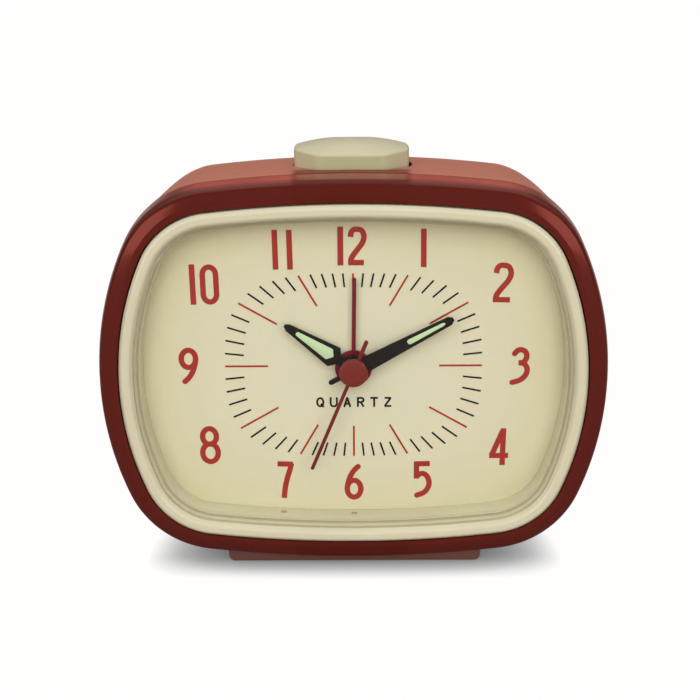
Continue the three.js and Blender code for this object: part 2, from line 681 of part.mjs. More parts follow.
// ---- hands, each drawn pointing at 12 in its own group and turned to its place ----
const HUB = [0, 0];
function handGroup({ degrees }) {
  const group = new THREE.Group();
  group.position.set(0, 0, AXIS_Z);
  group.rotation.y = THREE.MathUtils.degToRad(degrees);
  clock.add(group);
  return group;
}
// joins the parts and bores the hub right through
const bored = ([front, back], radius, sides, ...parts) =>
  cut(join(...parts), rod(radius, [front - 1, back + 1], HUB, sides));
// luminous fill: the slot shrunk in x, and in z about a height
function lume([front, back], slot, scaleX, middleZ, scaleZ) {
  const points = slot.map(([x, z]) => [x * scaleX, middleZ + (z - middleZ) * scaleZ]);
  return slab(points, [front + 0.05, back - 0.02]);
}
function addAlarmHand() {
  const { depths } = HAND.alarm;
  const blade = slab(mirrored([[0.44, 3], [0.44, 20.1], [0.2, 20.4]]), depths);
  const hand = bored(depths, 2.95, 18, blade, rod(4.0, depths, HUB, 24));
  add('alarm_hand', hand, FINISH.crimson, handGroup(HAND.alarm));
}
function addHourHand() {
  const { depths } = HAND.hour;
  const group = handGroup(HAND.hour);
  const slot = [[-1.42, 6.3], [0, 5.2], [1.42, 6.3], [0.55, 15.0], [-0.55, 15.0]];
  const edge = mirrored([[1.0, 2.0], [1.0, 3.9], [2.5, 5.1], [0.8, 17.3], [0.3, 18.1]]);
  const hand = bored(depths, 2.05, 16, slab(edge, depths, slot), rod(3.3, depths, HUB, 20));
  add('hour_hand', hand, FINISH.ink, group);
  add('hour_hand_lume', lume(depths, slot, 0.93, 9.6, 0.975), FINISH.lume, group);
}
function addMinuteHand() {
  const { depths } = HAND.minute;
  const group = handGroup(HAND.minute);
  const slot = mirrored([[0.35, 13.3], [0.65, 13.8], [0.36, 22.3], [0.15, 22.7]]);
  const edge = mirrored([[0.55, 2], [1.75, 3.0], [0.98, 23.8], [0.4, 24.7]]);
  const blade = slab(edge, depths, slot);
  const tail = slab(mirrored([[0.2, -6.1], [0.55, -5.8], [0.55, 3]]), depths);
  const hand = bored(depths, 1.25, 14, blade, tail, rod(2.4, depths, HUB, 18));
  add('minute_hand', hand, FINISH.ink, group);
  add('minute_hand_lume', lume(depths, slot, 0.9, 18, 0.985), FINISH.lume, group);
}
function addSecondHand() {
  const { depths } = HAND.second;
  const group = handGroup(HAND.second);
  const edge = mirrored([[0.2, -7.8], [0.42, -7.4], [0.33, 0], [0.33, 24.2], [0.15, 24.45]]);
  const disc = rod(2.4, depths, HUB, 18);
  const collar = rod(1.0, [depths[0], 3.3], HUB);
  const boss = [[0, 1.4], [2.75, 1.4], [3.15, 1.75], [3.15, 2.45], [0, 2.45]];
  add('second_hand', bored(depths, 0.5, 10, slab(edge, depths), disc, collar),
    FINISH.crimson, group);
  add('second_hand_boss', turned(boss, HUB, 24), FINISH.handBoss, group);
}

addCase();
addMovement();
addElectronics();
addPower();
addControls();
addFasteners();
addAlarmHand();
addHourHand();
addMinuteHand();
addSecondHand();

export default clock;
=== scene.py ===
# A quartz alarm clock: red two-part case on a brown plinth, cream bezel and dial, four hands,
# a pale button on top, and a door, knobs, switch and screws at the back.
# It faces -Y, with +X to the viewer's right, and stands on the floor at z = 0.
# Lengths are in mm. A "depth" is measured towards +Y from the joint of bezel and front frame.
import json
import math

import bmesh
import bpy
from mathutils import Matrix, Vector


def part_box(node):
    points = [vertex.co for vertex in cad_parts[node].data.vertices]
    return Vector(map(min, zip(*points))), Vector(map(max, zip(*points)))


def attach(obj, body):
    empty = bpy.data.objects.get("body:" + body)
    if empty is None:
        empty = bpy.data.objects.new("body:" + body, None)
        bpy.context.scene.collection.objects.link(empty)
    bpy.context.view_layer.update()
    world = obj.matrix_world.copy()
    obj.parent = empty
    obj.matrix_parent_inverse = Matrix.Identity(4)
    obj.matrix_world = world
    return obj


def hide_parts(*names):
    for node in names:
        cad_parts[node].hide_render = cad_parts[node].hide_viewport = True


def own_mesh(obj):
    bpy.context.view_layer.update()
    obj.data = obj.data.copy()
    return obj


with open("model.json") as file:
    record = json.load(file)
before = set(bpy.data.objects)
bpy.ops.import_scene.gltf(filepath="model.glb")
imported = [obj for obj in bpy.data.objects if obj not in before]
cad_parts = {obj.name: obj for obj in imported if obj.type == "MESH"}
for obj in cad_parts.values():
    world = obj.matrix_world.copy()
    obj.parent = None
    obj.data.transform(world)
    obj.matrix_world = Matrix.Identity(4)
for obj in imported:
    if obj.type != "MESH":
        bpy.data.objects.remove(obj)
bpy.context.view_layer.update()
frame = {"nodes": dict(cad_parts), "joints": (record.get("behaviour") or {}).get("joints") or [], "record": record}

MM = 0.001


def box_centre(node):
    low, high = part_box(node)
    return [(a + b) / 2 / MM for a, b in zip(low, high)]


# ------------------------------------------------------------------ places taken from the frame
JOINT = {joint["name"]: joint for joint in frame["joints"]}
Y_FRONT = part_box("bezel_ring")[0].y / MM + 1.0
CASE_Z = box_centre("front_frame")[2]
AXIS_Z = JOINT["minute_hand_turn"]["pos_m"][2] / MM
TIME_X = JOINT["time_set_turn"]["pos_m"][0] / MM
ALARM_X = JOINT["alarm_set_turn"]["pos_m"][0] / MM
DIAL_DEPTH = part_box("dial")[0].y / MM - Y_FRONT
BUTTON_LOW, BUTTON_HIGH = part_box("snooze_button")

# ------------------------------------------------------------------ driving dimensions
HALF_WIDTH, HALF_HEIGHT = 51.0, 38.5                # of the case outline
TOP_R, SIDE_R, CORNER_R = 272.7, 66.3, 17.5         # its three arc radii
SIDE_X, TOP_Z = HALF_WIDTH - SIDE_R, HALF_HEIGHT - TOP_R   # centres of the side and top arcs
SEAM_DEPTH = 9.9                                    # joint of front frame and rear shell
SEAM_GAP = 0.15                                     # each half stands this far off the joint
BACK_DEPTH = 41.0                                   # rear face
STEM_DEPTH = 24.7                                   # button stem, a little behind mid-cap


def y_at(depth):
    return (Y_FRONT + depth) * MM


def at(x, depth, z):
    return (x * MM, y_at(depth), z * MM)


def around(centre, half):
    return (centre - half, centre + half)


def turned(x, z, degrees):
    """a point turned clockwise, seen from the front"""
    a = math.radians(degrees)
    return (x * math.cos(a) + z * math.sin(a), -x * math.sin(a) + z * math.cos(a))


# ------------------------------------------------------------------ outline of the case
def corner_centre():
    """where a circle touches both the top arc and the side arc from inside"""
    top_reach, side_reach = TOP_R - CORNER_R, SIDE_R - CORNER_R
    span = math.hypot(SIDE_X, TOP_Z)
    along = (top_reach ** 2 - side_reach ** 2 + span ** 2) / (2 * span)
    off = math.sqrt(top_reach ** 2 - along ** 2)
    mid_x, mid_z = along * SIDE_X / span, TOP_Z - along * TOP_Z / span
    step_x, step_z = off * TOP_Z / span, off * SIDE_X / span
    return max([(mid_x - step_x, mid_z - step_z), (mid_x + step_x, mid_z + step_z)], key=sum)


def quarter_outline():
    """(arc centre x, z, radius, angle) from the right-hand side up to the middle of the top"""
    x, z = corner_centre()
    top_angle, side_angle = math.atan2(z - TOP_Z, x), math.atan2(z, x - SIDE_X)
    points = []
    for cx, cz, radius, start, end, steps in (
            (SIDE_X, 0.0, SIDE_R, 0.0, side_angle, 14),
            (x, z, CORNER_R, side_angle, top_angle, 30),
            (0.0, TOP_Z, TOP_R, top_angle, math.pi / 2, 18)):
        points += [(cx, cz, radius, start + (end - start) * i / steps) for i in range(steps)]
    return points + [(0.0, TOP_Z, TOP_R, math.pi / 2)]


QUARTER = quarter_outline()
EASE_MIDDLE, EASE_SPREAD = math.radians(46), math.radians(34)


def outline(offset, scale=1.0, ease=0.0):
    """the case outline grown by offset; ease draws the corners in by that much at their middle"""
    quarter = []
    for cx, cz, radius, angle in QUARTER:
        weight = max(0.0, 1 - ((angle - EASE_MIDDLE) / EASE_SPREAD) ** 2) ** 2
        reach = radius + offset - ease * weight
        quarter.append(((cx + reach * math.cos(angle)) * scale,
                        (cz + reach * math.sin(angle)) * scale))
    half = quarter + [(-x, z) for x, z in reversed(quarter[:-1])]
    return half + [(x, -z) for x, z in reversed(half[1:-1])]


def underside(x, offset):
    """height of the bottom arc of the outline grown by offset"""
    return CASE_Z - (TOP_Z + math.sqrt((TOP_R + offset) ** 2 - x * x))


# ------------------------------------------------------------------ mesh helpers
def fillet(points, closed=True, segments=6):
    """points are (u, v, radius); returns the polyline with rounded corners"""
    out, n = [], len(points)
    for i, (x, y, radius) in enumerate(points):
        if radius <= 0 or (not closed and i in (0, n - 1)):
            out.append((x, y))
            continue
        before_x, before_y = points[i - 1][:2]
        after_x, after_y = points[(i + 1) % n][:2]
        ux, uy, vx, vy = before_x - x, before_y - y, after_x - x, after_y - y
        u_len, v_len = math.hypot(ux, uy), math.hypot(vx, vy)
        ux, uy, vx, vy = ux / u_len, uy / u_len, vx / v_len, vy / v_len
        angle = math.acos(max(-1, min(1, ux * vx + uy * vy)))
        if angle > 3.1:                             # all but straight
            out.append((x, y))
            continue
        cut = min(radius / math.tan(angle / 2), u_len * 0.49, v_len * 0.49)
        fitted = cut * math.tan(angle / 2)
        reach = fitted / math.sin(angle / 2) / math.hypot(ux + vx, uy + vy)
        cx, cy = x + (ux + vx) * reach, y + (uy + vy) * reach
        start = math.atan2(y + uy * cut - cy, x + ux * cut - cx)
        end = math.atan2(y + vy * cut - cy, x + vx * cut - cx)
        sweep = (end - start + math.pi) % (2 * math.pi) - math.pi
        for k in range(segments + 1):
            a = start + sweep * k / segments
            out.append((cx + fitted * math.cos(a), cy + fitted * math.sin(a)))
    return out


def smooth(ob, sharp):
    ob.data.shade_smooth()
    ob.data.set_sharp_from_angle(angle=math.radians(sharp))


def place_mesh(name, mesh, sharp):
    ob = bpy.data.objects.new(name, mesh)
    bpy.context.scene.collection.objects.link(ob)
    smooth(ob, sharp)
    return ob


def make(name, verts, faces, sharp=35.0):
    mesh = bpy.data.meshes.new(name)
    mesh.from_pydata(verts, [], faces)
    bm = bmesh.new()
    bm.from_mesh(mesh)
    bmesh.ops.remove_doubles(bm, verts=bm.verts, dist=1e-7)
    bmesh.ops.recalc_face_normals(bm, faces=bm.faces)
    bm.to_mesh(mesh)
    bm.free()
    return place_mesh(name, mesh, sharp)


def grid_faces(rows, cols, wrap_rows, base=0):
    """quads between successive closed rings"""
    faces = []
    for i in range(rows if wrap_rows else rows - 1):
        for j in range(cols):
            a, b = base + i * cols, base + (i + 1) % rows * cols
            k = (j + 1) % cols
            faces.append((a + j, a + k, b + k, b + j))
    return faces


def prism_faces(n, base=0):
    ends = [tuple(range(base, base + n)), tuple(range(base + 2 * n - 1, base + n - 1, -1))]
    return ends + [(base + i, base + (i + 1) % n, base + n + (i + 1) % n, base + n + i)
                   for i in range(n)]


def skin(name, rings, centres=None, sharp=35.0):
    """rings joined in order: closed round without centres, or fanned shut to two end centres"""
    n = len(rings[0])
    verts = [point for ring in rings for point in ring]
    faces = grid_faces(len(rings), n, centres is None)
    if centres:
        for base, centre in zip((0, (len(rings) - 1) * n), centres):
            faces += [(base + j, base + (j + 1) % n, len(verts)) for j in range(n)]
            verts.append(centre)
    return make(name, verts, faces, sharp)


def case_ring(offset, depth, scale=1.0, ease=0.0):
    return [at(x, depth, CASE_Z + z) for x, z in outline(offset, scale, ease)]


def hoop(name, profile):
    """a closed profile of (offset, depth) carried round the case outline"""
    return skin(name, [case_ring(offset, depth) for offset, depth in profile])


def case_solid(name, rows, sharp=35.0):
    """rows of (offset, depth, scale, ease), closed at both ends"""
    centres = [at(0, row[1], CASE_Z) for row in (rows[0], rows[-1])]
    return skin(name, [case_ring(*row) for row in rows], centres, sharp)


def lathe(name, profile, x, z, segments=64, sharp=35.0, radial=None):
    """profile of (radius, depth), turned about the front-to-back line through x, z"""
    verts, rows = [], []
    for i, (radius, depth) in enumerate(profile):
        if radius < 1e-6:
            rows.append([len(verts)])
            verts.append(at(x, depth, z))
            continue
        rows.append(list(range(len(verts), len(verts) + segments)))
        for j in range(segments):
            t = 2 * math.pi * j / segments
            r = radius if radial is None else radial(i, radius, t)
            verts.append(at(x + r * math.cos(t), depth, z + r * math.sin(t)))
    faces = []
    for a, b in zip(rows, rows[1:]):
        for j in range(segments):
            k = (j + 1) % segments
            corners = (a[j % len(a)], a[k % len(a)], b[k % len(b)], b[j % len(b)])
            face = list(dict.fromkeys(corners))     # triangles beside a point on the axis
            if len(face) > 2:
                faces.append(face)
    return make(name, verts, faces, sharp)


def prism(name, points, front, rear, x=0.0, z=0.0):
    """an outline of (x, z) standing between two depths"""
    verts = [at(x + a, depth, z + b) for depth in (front, rear) for a, b in points]
    return make(name, verts, prism_faces(len(points)))


def settle(ob):
    """replace the mesh by its evaluated form and drop the modifiers"""
    depsgraph = bpy.context.evaluated_depsgraph_get()
    mesh = bpy.data.meshes.new_from_object(ob.evaluated_get(depsgraph))
    old = ob.data
    ob.modifiers.clear()
    ob.data = mesh
    if old.users == 0:
        bpy.data.meshes.remove(old)


def bevelled(ob, width, segments=3, angle=30.0):
    bevel = ob.modifiers.new("bevel", "BEVEL")
    bevel.width = width * MM
    bevel.segments = segments
    bevel.limit_method = "ANGLE"
    bevel.angle_limit = math.radians(angle)
    settle(ob)
    smooth(ob, 40)


def block(name, x, depth, z, bevel=0.0, segments=3):
    """a box between pairs of x, depth and z"""
    faces = [(0, 1, 3, 2), (4, 6, 7, 5), (0, 4, 5, 1), (2, 3, 7, 6), (0, 2, 6, 4), (1, 5, 7, 3)]
    ob = make(name, [at(a, b, c) for a in x for b in depth for c in z], faces)
    if bevel:
        bevelled(ob, bevel, segments)
    return ob


def discard(ob):
    mesh = ob.data
    bpy.data.objects.remove(ob)
    bpy.data.meshes.remove(mesh)


def boolean(ob, others, operation="DIFFERENCE"):
    for other in others:
        cut = ob.modifiers.new("cut", "BOOLEAN")
        cut.object = other
        cut.operation = operation
        cut.solver = "EXACT"
        settle(ob)
    for other in others:
        discard(other)
    smooth(ob, 32)


def joined(name, obs, sharp=35.0):
    bm = bmesh.new()
    for ob in obs:
        bm.from_mesh(ob.data)
        discard(ob)
    mesh = bpy.data.meshes.new(name)
    bm.to_mesh(mesh)
    bm.free()
    return place_mesh(name, mesh, sharp)


def circle(radius, n=64):
    return [(radius * math.cos(2 * math.pi * i / n), radius * math.sin(2 * math.pi * i / n))
            for i in range(n)]


def stadium(cx, cz, half_x, half_z, radius, n=6):
    """a rectangle with round corners"""
    points = []
    for sx, sz, start in ((1, 1, 0), (-1, 1, 90), (-1, -1, 180), (1, -1, 270)):
        for i in range(n + 1):
            a = math.radians(start + 90 * i / n)
            points.append((cx + sx * (half_x - radius) + radius * math.cos(a),
                           cz + sz * (half_z - radius) + radius * math.sin(a)))
    return points


# ------------------------------------------------------------------ shader helpers
def linear(rgb):
    return tuple((c / 255 / 12.92) if c / 255 <= 0.04045 else ((c / 255 + 0.055) / 1.055) ** 2.4
                 for c in rgb)


def scaled(colour, factor, lift=0.0):
    return tuple(min(1, c * factor + lift) for c in colour)


class Nodes:
    """short ways to add nodes to a tree"""

    def __init__(self, tree):
        self.tree = tree

    def feed(self, node, inputs):
        """give each input its source: a socket is linked, anything else is set as the value"""
        for key, value in inputs.items():
            if isinstance(value, bpy.types.NodeSocket):
                self.tree.links.new(value, node.inputs[key])
            else:
                node.inputs[key].default_value = value

    def node(self, kind, inputs=None, **settings):
        node = self.tree.nodes.new(kind)
        for key, value in settings.items():
            setattr(node, key, value)
        self.feed(node, inputs or {})
        return node

    def ramp(self, factor, stops):
        """stops are (position, colour)"""
        node = self.node("ShaderNodeValToRGB", {"Fac": factor})
        elements = node.color_ramp.elements
        while len(elements) < len(stops):
            elements.new(0.5)
        for element, (position, colour) in zip(elements, stops):
            element.position = position
            element.color = (*colour, 1)
        return node.outputs["Color"]

    def remap(self, value, span, to):
        return self.node("ShaderNodeMapRange", {
            "Value": value, "From Min": span[0], "From Max": span[1],
            "To Min": to[0], "To Max": to[1]}).outputs["Result"]

    def math(self, operation, *values):
        return self.node("ShaderNodeMath", dict(enumerate(values)),
                         operation=operation).outputs[0]

    def split(self, vector):
        return self.node("ShaderNodeSeparateXYZ", {0: vector}).outputs

    def occlusion(self, distance, samples):
        return self.node("ShaderNodeAmbientOcclusion", {"Distance": distance},
                         samples=samples).outputs["AO"]

    def mix_shader(self, factor, first, second):
        inputs = {0: factor, 1: first.outputs[0], 2: second.outputs[0]}
        return self.node("ShaderNodeMixShader", inputs)


class Mat(Nodes):
    """a new material round its Principled node"""

    def __init__(self, name):
        self.material = bpy.data.materials.new(name)
        self.material.use_nodes = True
        super().__init__(self.material.node_tree)
        self.bsdf = self.tree.nodes["Principled BSDF"]
        self.coords = self.node("ShaderNodeTexCoord").outputs["Object"]

    def surface(self, inputs):
        self.feed(self.bsdf, inputs)

    def output(self, shader):
        self.feed(self.tree.nodes["Material Output"], {"Surface": shader.outputs[0]})

    def noise(self, scale, detail=3.0, rough=0.55, stretch=None, distort=0.0):
        vector = self.coords
        if stretch:
            vector = self.node("ShaderNodeMapping",
                               {"Vector": vector, "Scale": stretch}).outputs["Vector"]
        return self.node("ShaderNodeTexNoise", {
            "Scale": scale, "Detail": detail, "Roughness": rough, "Distortion": distort,
            "Vector": vector}).outputs["Fac"]

    def mix(self, factor, first, second):
        """the second colour over the first; plain colours are tuples"""
        colours = [(*c, 1) if isinstance(c, tuple) else c for c in (first, second)]
        node = self.node("ShaderNodeMix", data_type="RGBA")
        self.feed(node, {"Factor": factor, 6: colours[0], 7: colours[1]})   # 6, 7: colour A, B
        return node.outputs[2]                      # the colour result

    def facing(self):
        return self.node("ShaderNodeLayerWeight", {"Blend": 0.5}).outputs["Facing"]

    def bump(self, height, distance, edge_radius=0.0):
        inputs = {"Strength": 1.0, "Distance": distance, "Height": height}
        if edge_radius:
            inputs["Normal"] = self.node("ShaderNodeBevel", {"Radius": edge_radius},
                                         samples=4).outputs["Normal"]
        self.surface({"Normal": self.node("ShaderNodeBump", inputs).outputs["Normal"]})


# ------------------------------------------------------------------ materials, all procedural
def worn_edges(mat, colour, base, amount):
    geometry = mat.node("ShaderNodeNewGeometry")
    edge = mat.remap(geometry.outputs["Pointiness"], span=(0.52, 0.60), to=(0.0, amount))
    patches = mat.noise(scale=900.0, detail=2.0)
    return mat.mix(mat.math("MULTIPLY", edge, patches), colour, scaled(base, 1.7, lift=0.02))


def lit_top(mat, colour, drift, spec, rgb, lift=(0.90, 0.998), back=None, near=None):
    """painted top light and sheen: a paler colour on faces turned up; lift is the range of normal z it comes in
    over
    """
    geometry = mat.node("ShaderNodeNewGeometry")
    normal_z = mat.split(geometry.outputs["Normal"])["Z"]
    wander = mat.remap(drift, span=(0.3, 0.7), to=(-0.03, 0.03))
    up = mat.remap(mat.math("ADD", normal_z, wander), span=lift, to=(0.0, 1.0))
    if back:                                        # depths over which the painted top light comes in
        band = mat.remap(mat.split(mat.coords)["Y"], span=(y_at(back[0]), y_at(back[1])),
                         to=(0.0, 1.0))
        up = mat.math("MULTIPLY", up, band)
    if near:                                        # painted shade and reflection of the button on the strip in front of it
        middle = (BUTTON_LOW.x + BUTTON_HIGH.x) / 2
        spot = mat.split(mat.coords)
        side = mat.math("ABSOLUTE", mat.math("SUBTRACT", spot["X"], middle))
        across = mat.remap(side, span=(12.0 * MM, 13.3 * MM), to=(near, 0.0))
        ahead = mat.remap(spot["Y"], span=(BUTTON_LOW.y, BUTTON_LOW.y + 3 * MM), to=(1.0, 0.0))
        clear = mat.math("SUBTRACT", 1.0, mat.math("MULTIPLY", across, ahead))
        up = mat.math("MULTIPLY", up, clear)
        mat.surface({"Specular IOR Level": mat.math("MULTIPLY", clear, spec)})
    return mat.mix(up, colour, linear(rgb))


def lit_rim(mat, colour, rgb, facing):
    """painted highlight: a thin lit edge where the skin turns away"""
    return mat.mix(mat.remap(mat.facing(), span=facing, to=(0.0, 0.85)), colour, linear(rgb))


def painted_groove_shade(mat, colour, rgb, reach, openness):
    """painted shade in seat lines, darker where an occlusion test finds surfaces close by"""
    shade = mat.remap(mat.occlusion(reach, samples=10), span=openness, to=(0.9, 0.0))
    return mat.mix(shade, colour, linear(rgb))


def dark_joint(mat, colour, base, depths):
    """shade gathered in the joint between the two case halves"""
    shade = mat.remap(mat.split(mat.coords)["Y"], span=(y_at(depths[0]), y_at(depths[1])),
                      to=(0.0, 0.72))
    return mat.mix(shade, colour, scaled(base, 0.25))


def moulded(name, rgb, rough, var=0.06, grain=2600.0, relief=4e-6, wear=0.0, spec=0.5,
            edge_radius=0.0, streaks=True, tint=None, lit=None, rim=None, groove=None, joint=None):
    """moulded plastic: slow colour drift (var), fine skin grain, faint streaks and marks"""
    mat = Mat(name)
    base = linear(rgb)
    mat.surface({"Specular IOR Level": spec})
    drift = mat.noise(scale=55.0, detail=4.0, rough=0.5)
    colour = mat.ramp(drift, [(0.3, scaled(base, 1 - var)), (0.7, scaled(base, 1 + var))])
    if wear:
        colour = worn_edges(mat, colour, base, wear)
    # painted light and shade: lit, rim and groove put top light, edge highlights and seat-line shade into the
    # colour
    if lit:
        colour = lit_top(mat, colour, drift, spec, **lit)
    if rim:
        colour = lit_rim(mat, colour, **rim)
    if groove:
        colour = painted_groove_shade(mat, colour, **groove)
    if joint:
        colour = dark_joint(mat, colour, base, joint)
    fine = mat.noise(scale=grain, detail=3.0, rough=0.6)
    if streaks:
        marks = mat.noise(scale=420.0, detail=5.0, rough=0.65, stretch=(1.0, 1.0, 6.0))
    else:
        marks = mat.noise(scale=420.0, detail=5.0)
    mat.surface({"Base Color": colour, "Roughness": mat.math(
        "ADD", mat.remap(marks, span=(0.35, 0.7), to=(rough * 0.88, rough * 1.14)),
        mat.remap(fine, span=(0.3, 0.7), to=(-0.012, 0.012)))})
    if tint:
        mat.surface({"Specular Tint": (*tint, 1)})
    height = mat.math("ADD", fine, mat.math("MULTIPLY", drift, 2.0))
    mat.bump(height, relief, edge_radius)
    return mat.material


def metal(name, rgb, rough, stretch=(1, 12, 1), scale=700.0):
    mat = Mat(name)
    base = linear(rgb)
    grain = mat.noise(scale=scale, detail=4.0, rough=0.6, stretch=stretch)
    mat.surface({
        "Base Color": mat.ramp(grain, [(0.3, scaled(base, 0.82)), (0.75, scaled(base, 1.1))]),
        "Metallic": 1.0,
        "Roughness": mat.remap(grain, span=(0.3, 0.7), to=(rough * 0.8, rough * 1.3))})
    mat.bump(grain, 3e-6)
    return mat.material


def enamel(name, rgb, rough):
    """paint with a slight orange peel"""
    mat = Mat(name)
    base = linear(rgb)
    peel = mat.noise(scale=1800.0, detail=2.0, rough=0.5)
    drift = mat.noise(scale=260.0, detail=3.0)
    mat.surface({
        "Base Color": mat.ramp(drift, [(0.3, scaled(base, 0.92)), (0.7, scaled(base, 1.08))]),
        "Roughness": mat.remap(peel, span=(0.3, 0.7), to=(rough * 0.9, rough * 1.15)),
        "Specular IOR Level": 0.22})
    mat.bump(peel, 3e-6)
    return mat.material


def print_ink(name, rgb):
    mat = Mat(name)
    base = linear(rgb)
    speck = mat.noise(scale=3200.0, detail=3.0, rough=0.7)
    stops = [(0.28, scaled(base, 1.15, lift=0.01)), (0.45, base), (0.8, scaled(base, 0.95))]
    mat.surface({"Base Color": mat.ramp(speck, stops), "Roughness": 0.6,
                 "Specular IOR Level": 0.25})
    mat.bump(speck, 2e-6)
    return mat.material


def dial_card():
    """cream card with painted shade, darker towards a rounded-rectangular edge"""
    half_x, half_z = 0.0475, 0.0345                 # metres to where the darkening ends
    squareness = 3.0
    mat = Mat("dial_card")
    spot = mat.split(mat.coords)
    x = mat.math("DIVIDE", spot["X"], half_x)
    z = mat.math("DIVIDE", mat.math("SUBTRACT", spot["Z"], CASE_Z * MM), half_z)
    powers = [mat.math("POWER", mat.math("ABSOLUTE", v), squareness) for v in (x, z)]
    radius = mat.math("POWER", mat.math("ADD", *powers), 1 / squareness)
    cloud = mat.noise(scale=38.0, detail=3.0, rough=0.5)
    radius = mat.math("ADD", radius, mat.remap(cloud, span=(0.3, 0.7), to=(-0.03, 0.03)))
    colour = mat.ramp(radius, [
        (0.0, linear((229, 224, 195))), (0.56, linear((227, 221, 191))),
        (0.8, linear((222, 215, 182))), (0.93, linear((216, 208, 172))),
        (1.0, linear((208, 199, 162)))])
    fibre = mat.noise(scale=2400.0, detail=4.0, rough=0.65)
    fibre_colour = mat.ramp(fibre, [(0.3, (0.62, 0.56, 0.36)), (0.7, (0.92, 0.88, 0.68))])
    mat.surface({"Base Color": mat.mix(0.10, colour, fibre_colour), "Roughness": 0.62,
                 "Specular IOR Level": 0.3})
    mat.bump(fibre, 3e-6)
    return mat.material


def clear_lens():
    """clear sheet that shines at a glancing angle, from the outside only"""
    mat = Mat("clear_lens")
    mat.tree.nodes.remove(mat.bsdf)
    clear = mat.node("ShaderNodeBsdfTransparent", {"Color": (0.985, 0.988, 0.98, 1)})
    smear = mat.noise(scale=60.0, detail=5.0, rough=0.6, stretch=(1.0, 1.0, 2.5), distort=0.4)
    gloss = mat.node("ShaderNodeBsdfGlossy", {
        "Color": (1, 1, 1, 1),
        "Roughness": mat.remap(smear, span=(0.35, 0.7), to=(0.02, 0.09))})
    backfacing = mat.node("ShaderNodeNewGeometry").outputs["Backfacing"]
    glancing = mat.math("MULTIPLY", mat.math("POWER", mat.facing(), 5.0), 0.85)
    shine = mat.math("MULTIPLY", mat.math("ADD", glancing, 0.03),
                     mat.math("SUBTRACT", 1.0, backfacing))
    mat.output(mat.mix_shader(shine, clear, gloss))
    return mat.material


def rubber():
    mat = Mat("pad_rubber")
    grain = mat.noise(scale=1900.0, detail=4.0, rough=0.7)
    stops = [(0.3, linear((22, 22, 22))), (0.7, linear((44, 43, 42)))]
    mat.surface({"Base Color": mat.ramp(grain, stops), "Roughness": 0.85})
    mat.bump(grain, 2e-5)
    return mat.material


def lume():
    """chalky pale-green fill"""
    mat = Mat("luminous_fill")
    grain = mat.noise(scale=5200.0, detail=3.0, rough=0.7)
    base = linear((208, 232, 184))
    stops = [(0.25, scaled(base, 0.88)), (0.7, scaled(base, 1.06))]
    mat.surface({"Base Color": mat.ramp(grain, stops), "Roughness": 0.8,
                 "Specular IOR Level": 0.2})
    mat.bump(grain, 1.2e-5)
    return mat.material


def board():
    mat = Mat("board_green")
    cells = mat.node("ShaderNodeTexVoronoi",
                     {"Scale": 420.0, "Vector": mat.coords}).outputs["Distance"]
    stops = [(0.2, linear((34, 88, 56))), (0.5, linear((46, 108, 68)))]
    mat.surface({"Base Color": mat.ramp(cells, stops), "Roughness": 0.4})
    mat.bump(cells, 1e-5)
    return mat.material


# in these, lit paints a paler top for top light and sheen, and with near the button's shade and reflection on the
# strip in front of it; rim paints a highlight on edges turned away; groove paints shade in seat lines
MAT = {
    "frame_red": moulded(
        "frame_red", (88, 31, 24), rough=0.17, var=0.03, relief=2e-6, wear=0.12,
        tint=(1.0, 0.25, 0.2), lit=dict(rgb=(207, 95, 80), near=0.8, back=(2.5, 5.9)),
        joint=(SEAM_DEPTH - 0.42, SEAM_DEPTH - 0.25),
        rim=dict(rgb=(176, 74, 62), facing=(0.72, 1.0))),
    # the rear shell's base is a paler copy of the front frame's red: painted top light
    "shell_red": moulded(
        "shell_red", (120, 42, 32), rough=0.34, var=0.05, grain=3200.0, relief=6e-6, wear=0.15,
        edge_radius=0.00018, tint=(1.0, 0.6, 0.5),
        lit=dict(rgb=(201, 121, 97), lift=(0.3, 0.8), near=0.88),
        joint=(SEAM_DEPTH + 0.72, SEAM_DEPTH + 0.45)),
    "bezel_cream": moulded(
        "bezel_cream", (213, 206, 176), rough=0.34, var=0.03, relief=2e-6, streaks=False,
        spec=0.35, groove=dict(rgb=(134, 118, 80), reach=0.0005, openness=(0.1, 0.5))),
    "funnel_cream": moulded("funnel_cream", (214, 209, 180), rough=0.45, var=0.03,
                            streaks=False, spec=0.3),
    "catch_cream": moulded("catch_cream", (168, 160, 126), rough=0.5, var=0.05,
                           streaks=False, spec=0.3),
    "dial_card": dial_card(),
    "lens": clear_lens(),
    "plinth_brown": moulded("plinth_brown", (104, 64, 54), rough=0.42, relief=6e-6,
                            edge_radius=0.00015),
    "pad_rubber": rubber(),
    "button_pale": moulded(
        "button_pale", (173, 170, 128), rough=0.38, var=0.03, relief=5e-6, streaks=False,
        lit=dict(rgb=(204, 197, 163), lift=(0.1, 0.8)),
        rim=dict(rgb=(204, 197, 163), facing=(0.1, 0.5))),
    "hand_black": enamel("hand_black", (20, 16, 13), rough=0.42),
    "hand_crimson": enamel("hand_crimson", (114, 10, 22), rough=0.36),
    "hand_red": enamel("hand_red", (118, 28, 28), rough=0.38),
    "boss_red": moulded("boss_red", (124, 38, 31), rough=0.30, var=0.05, relief=3e-6,
                        streaks=False, spec=0.3),
    "lume": lume(),
    "ink_red": print_ink("ink_red", (166, 42, 30)),
    "ink_tick": print_ink("ink_tick", (176, 40, 28)),
    "ink_black": print_ink("ink_black", (12, 8, 7)),
    "acetal": moulded("acetal", (232, 230, 222), rough=0.45, var=0.03, streaks=False),
    "brass": metal("brass", (190, 152, 84), rough=0.3),
    "steel": metal("steel", (190, 192, 196), rough=0.3),
    "black_plastic": moulded("black_plastic", (30, 30, 31), rough=0.5, var=0.1, relief=8e-6,
                             streaks=False),
    "board_green": board(),
    "cell_wrap": metal("cell_wrap", (150, 118, 66), rough=0.32, stretch=(1, 1, 1), scale=90.0),
}
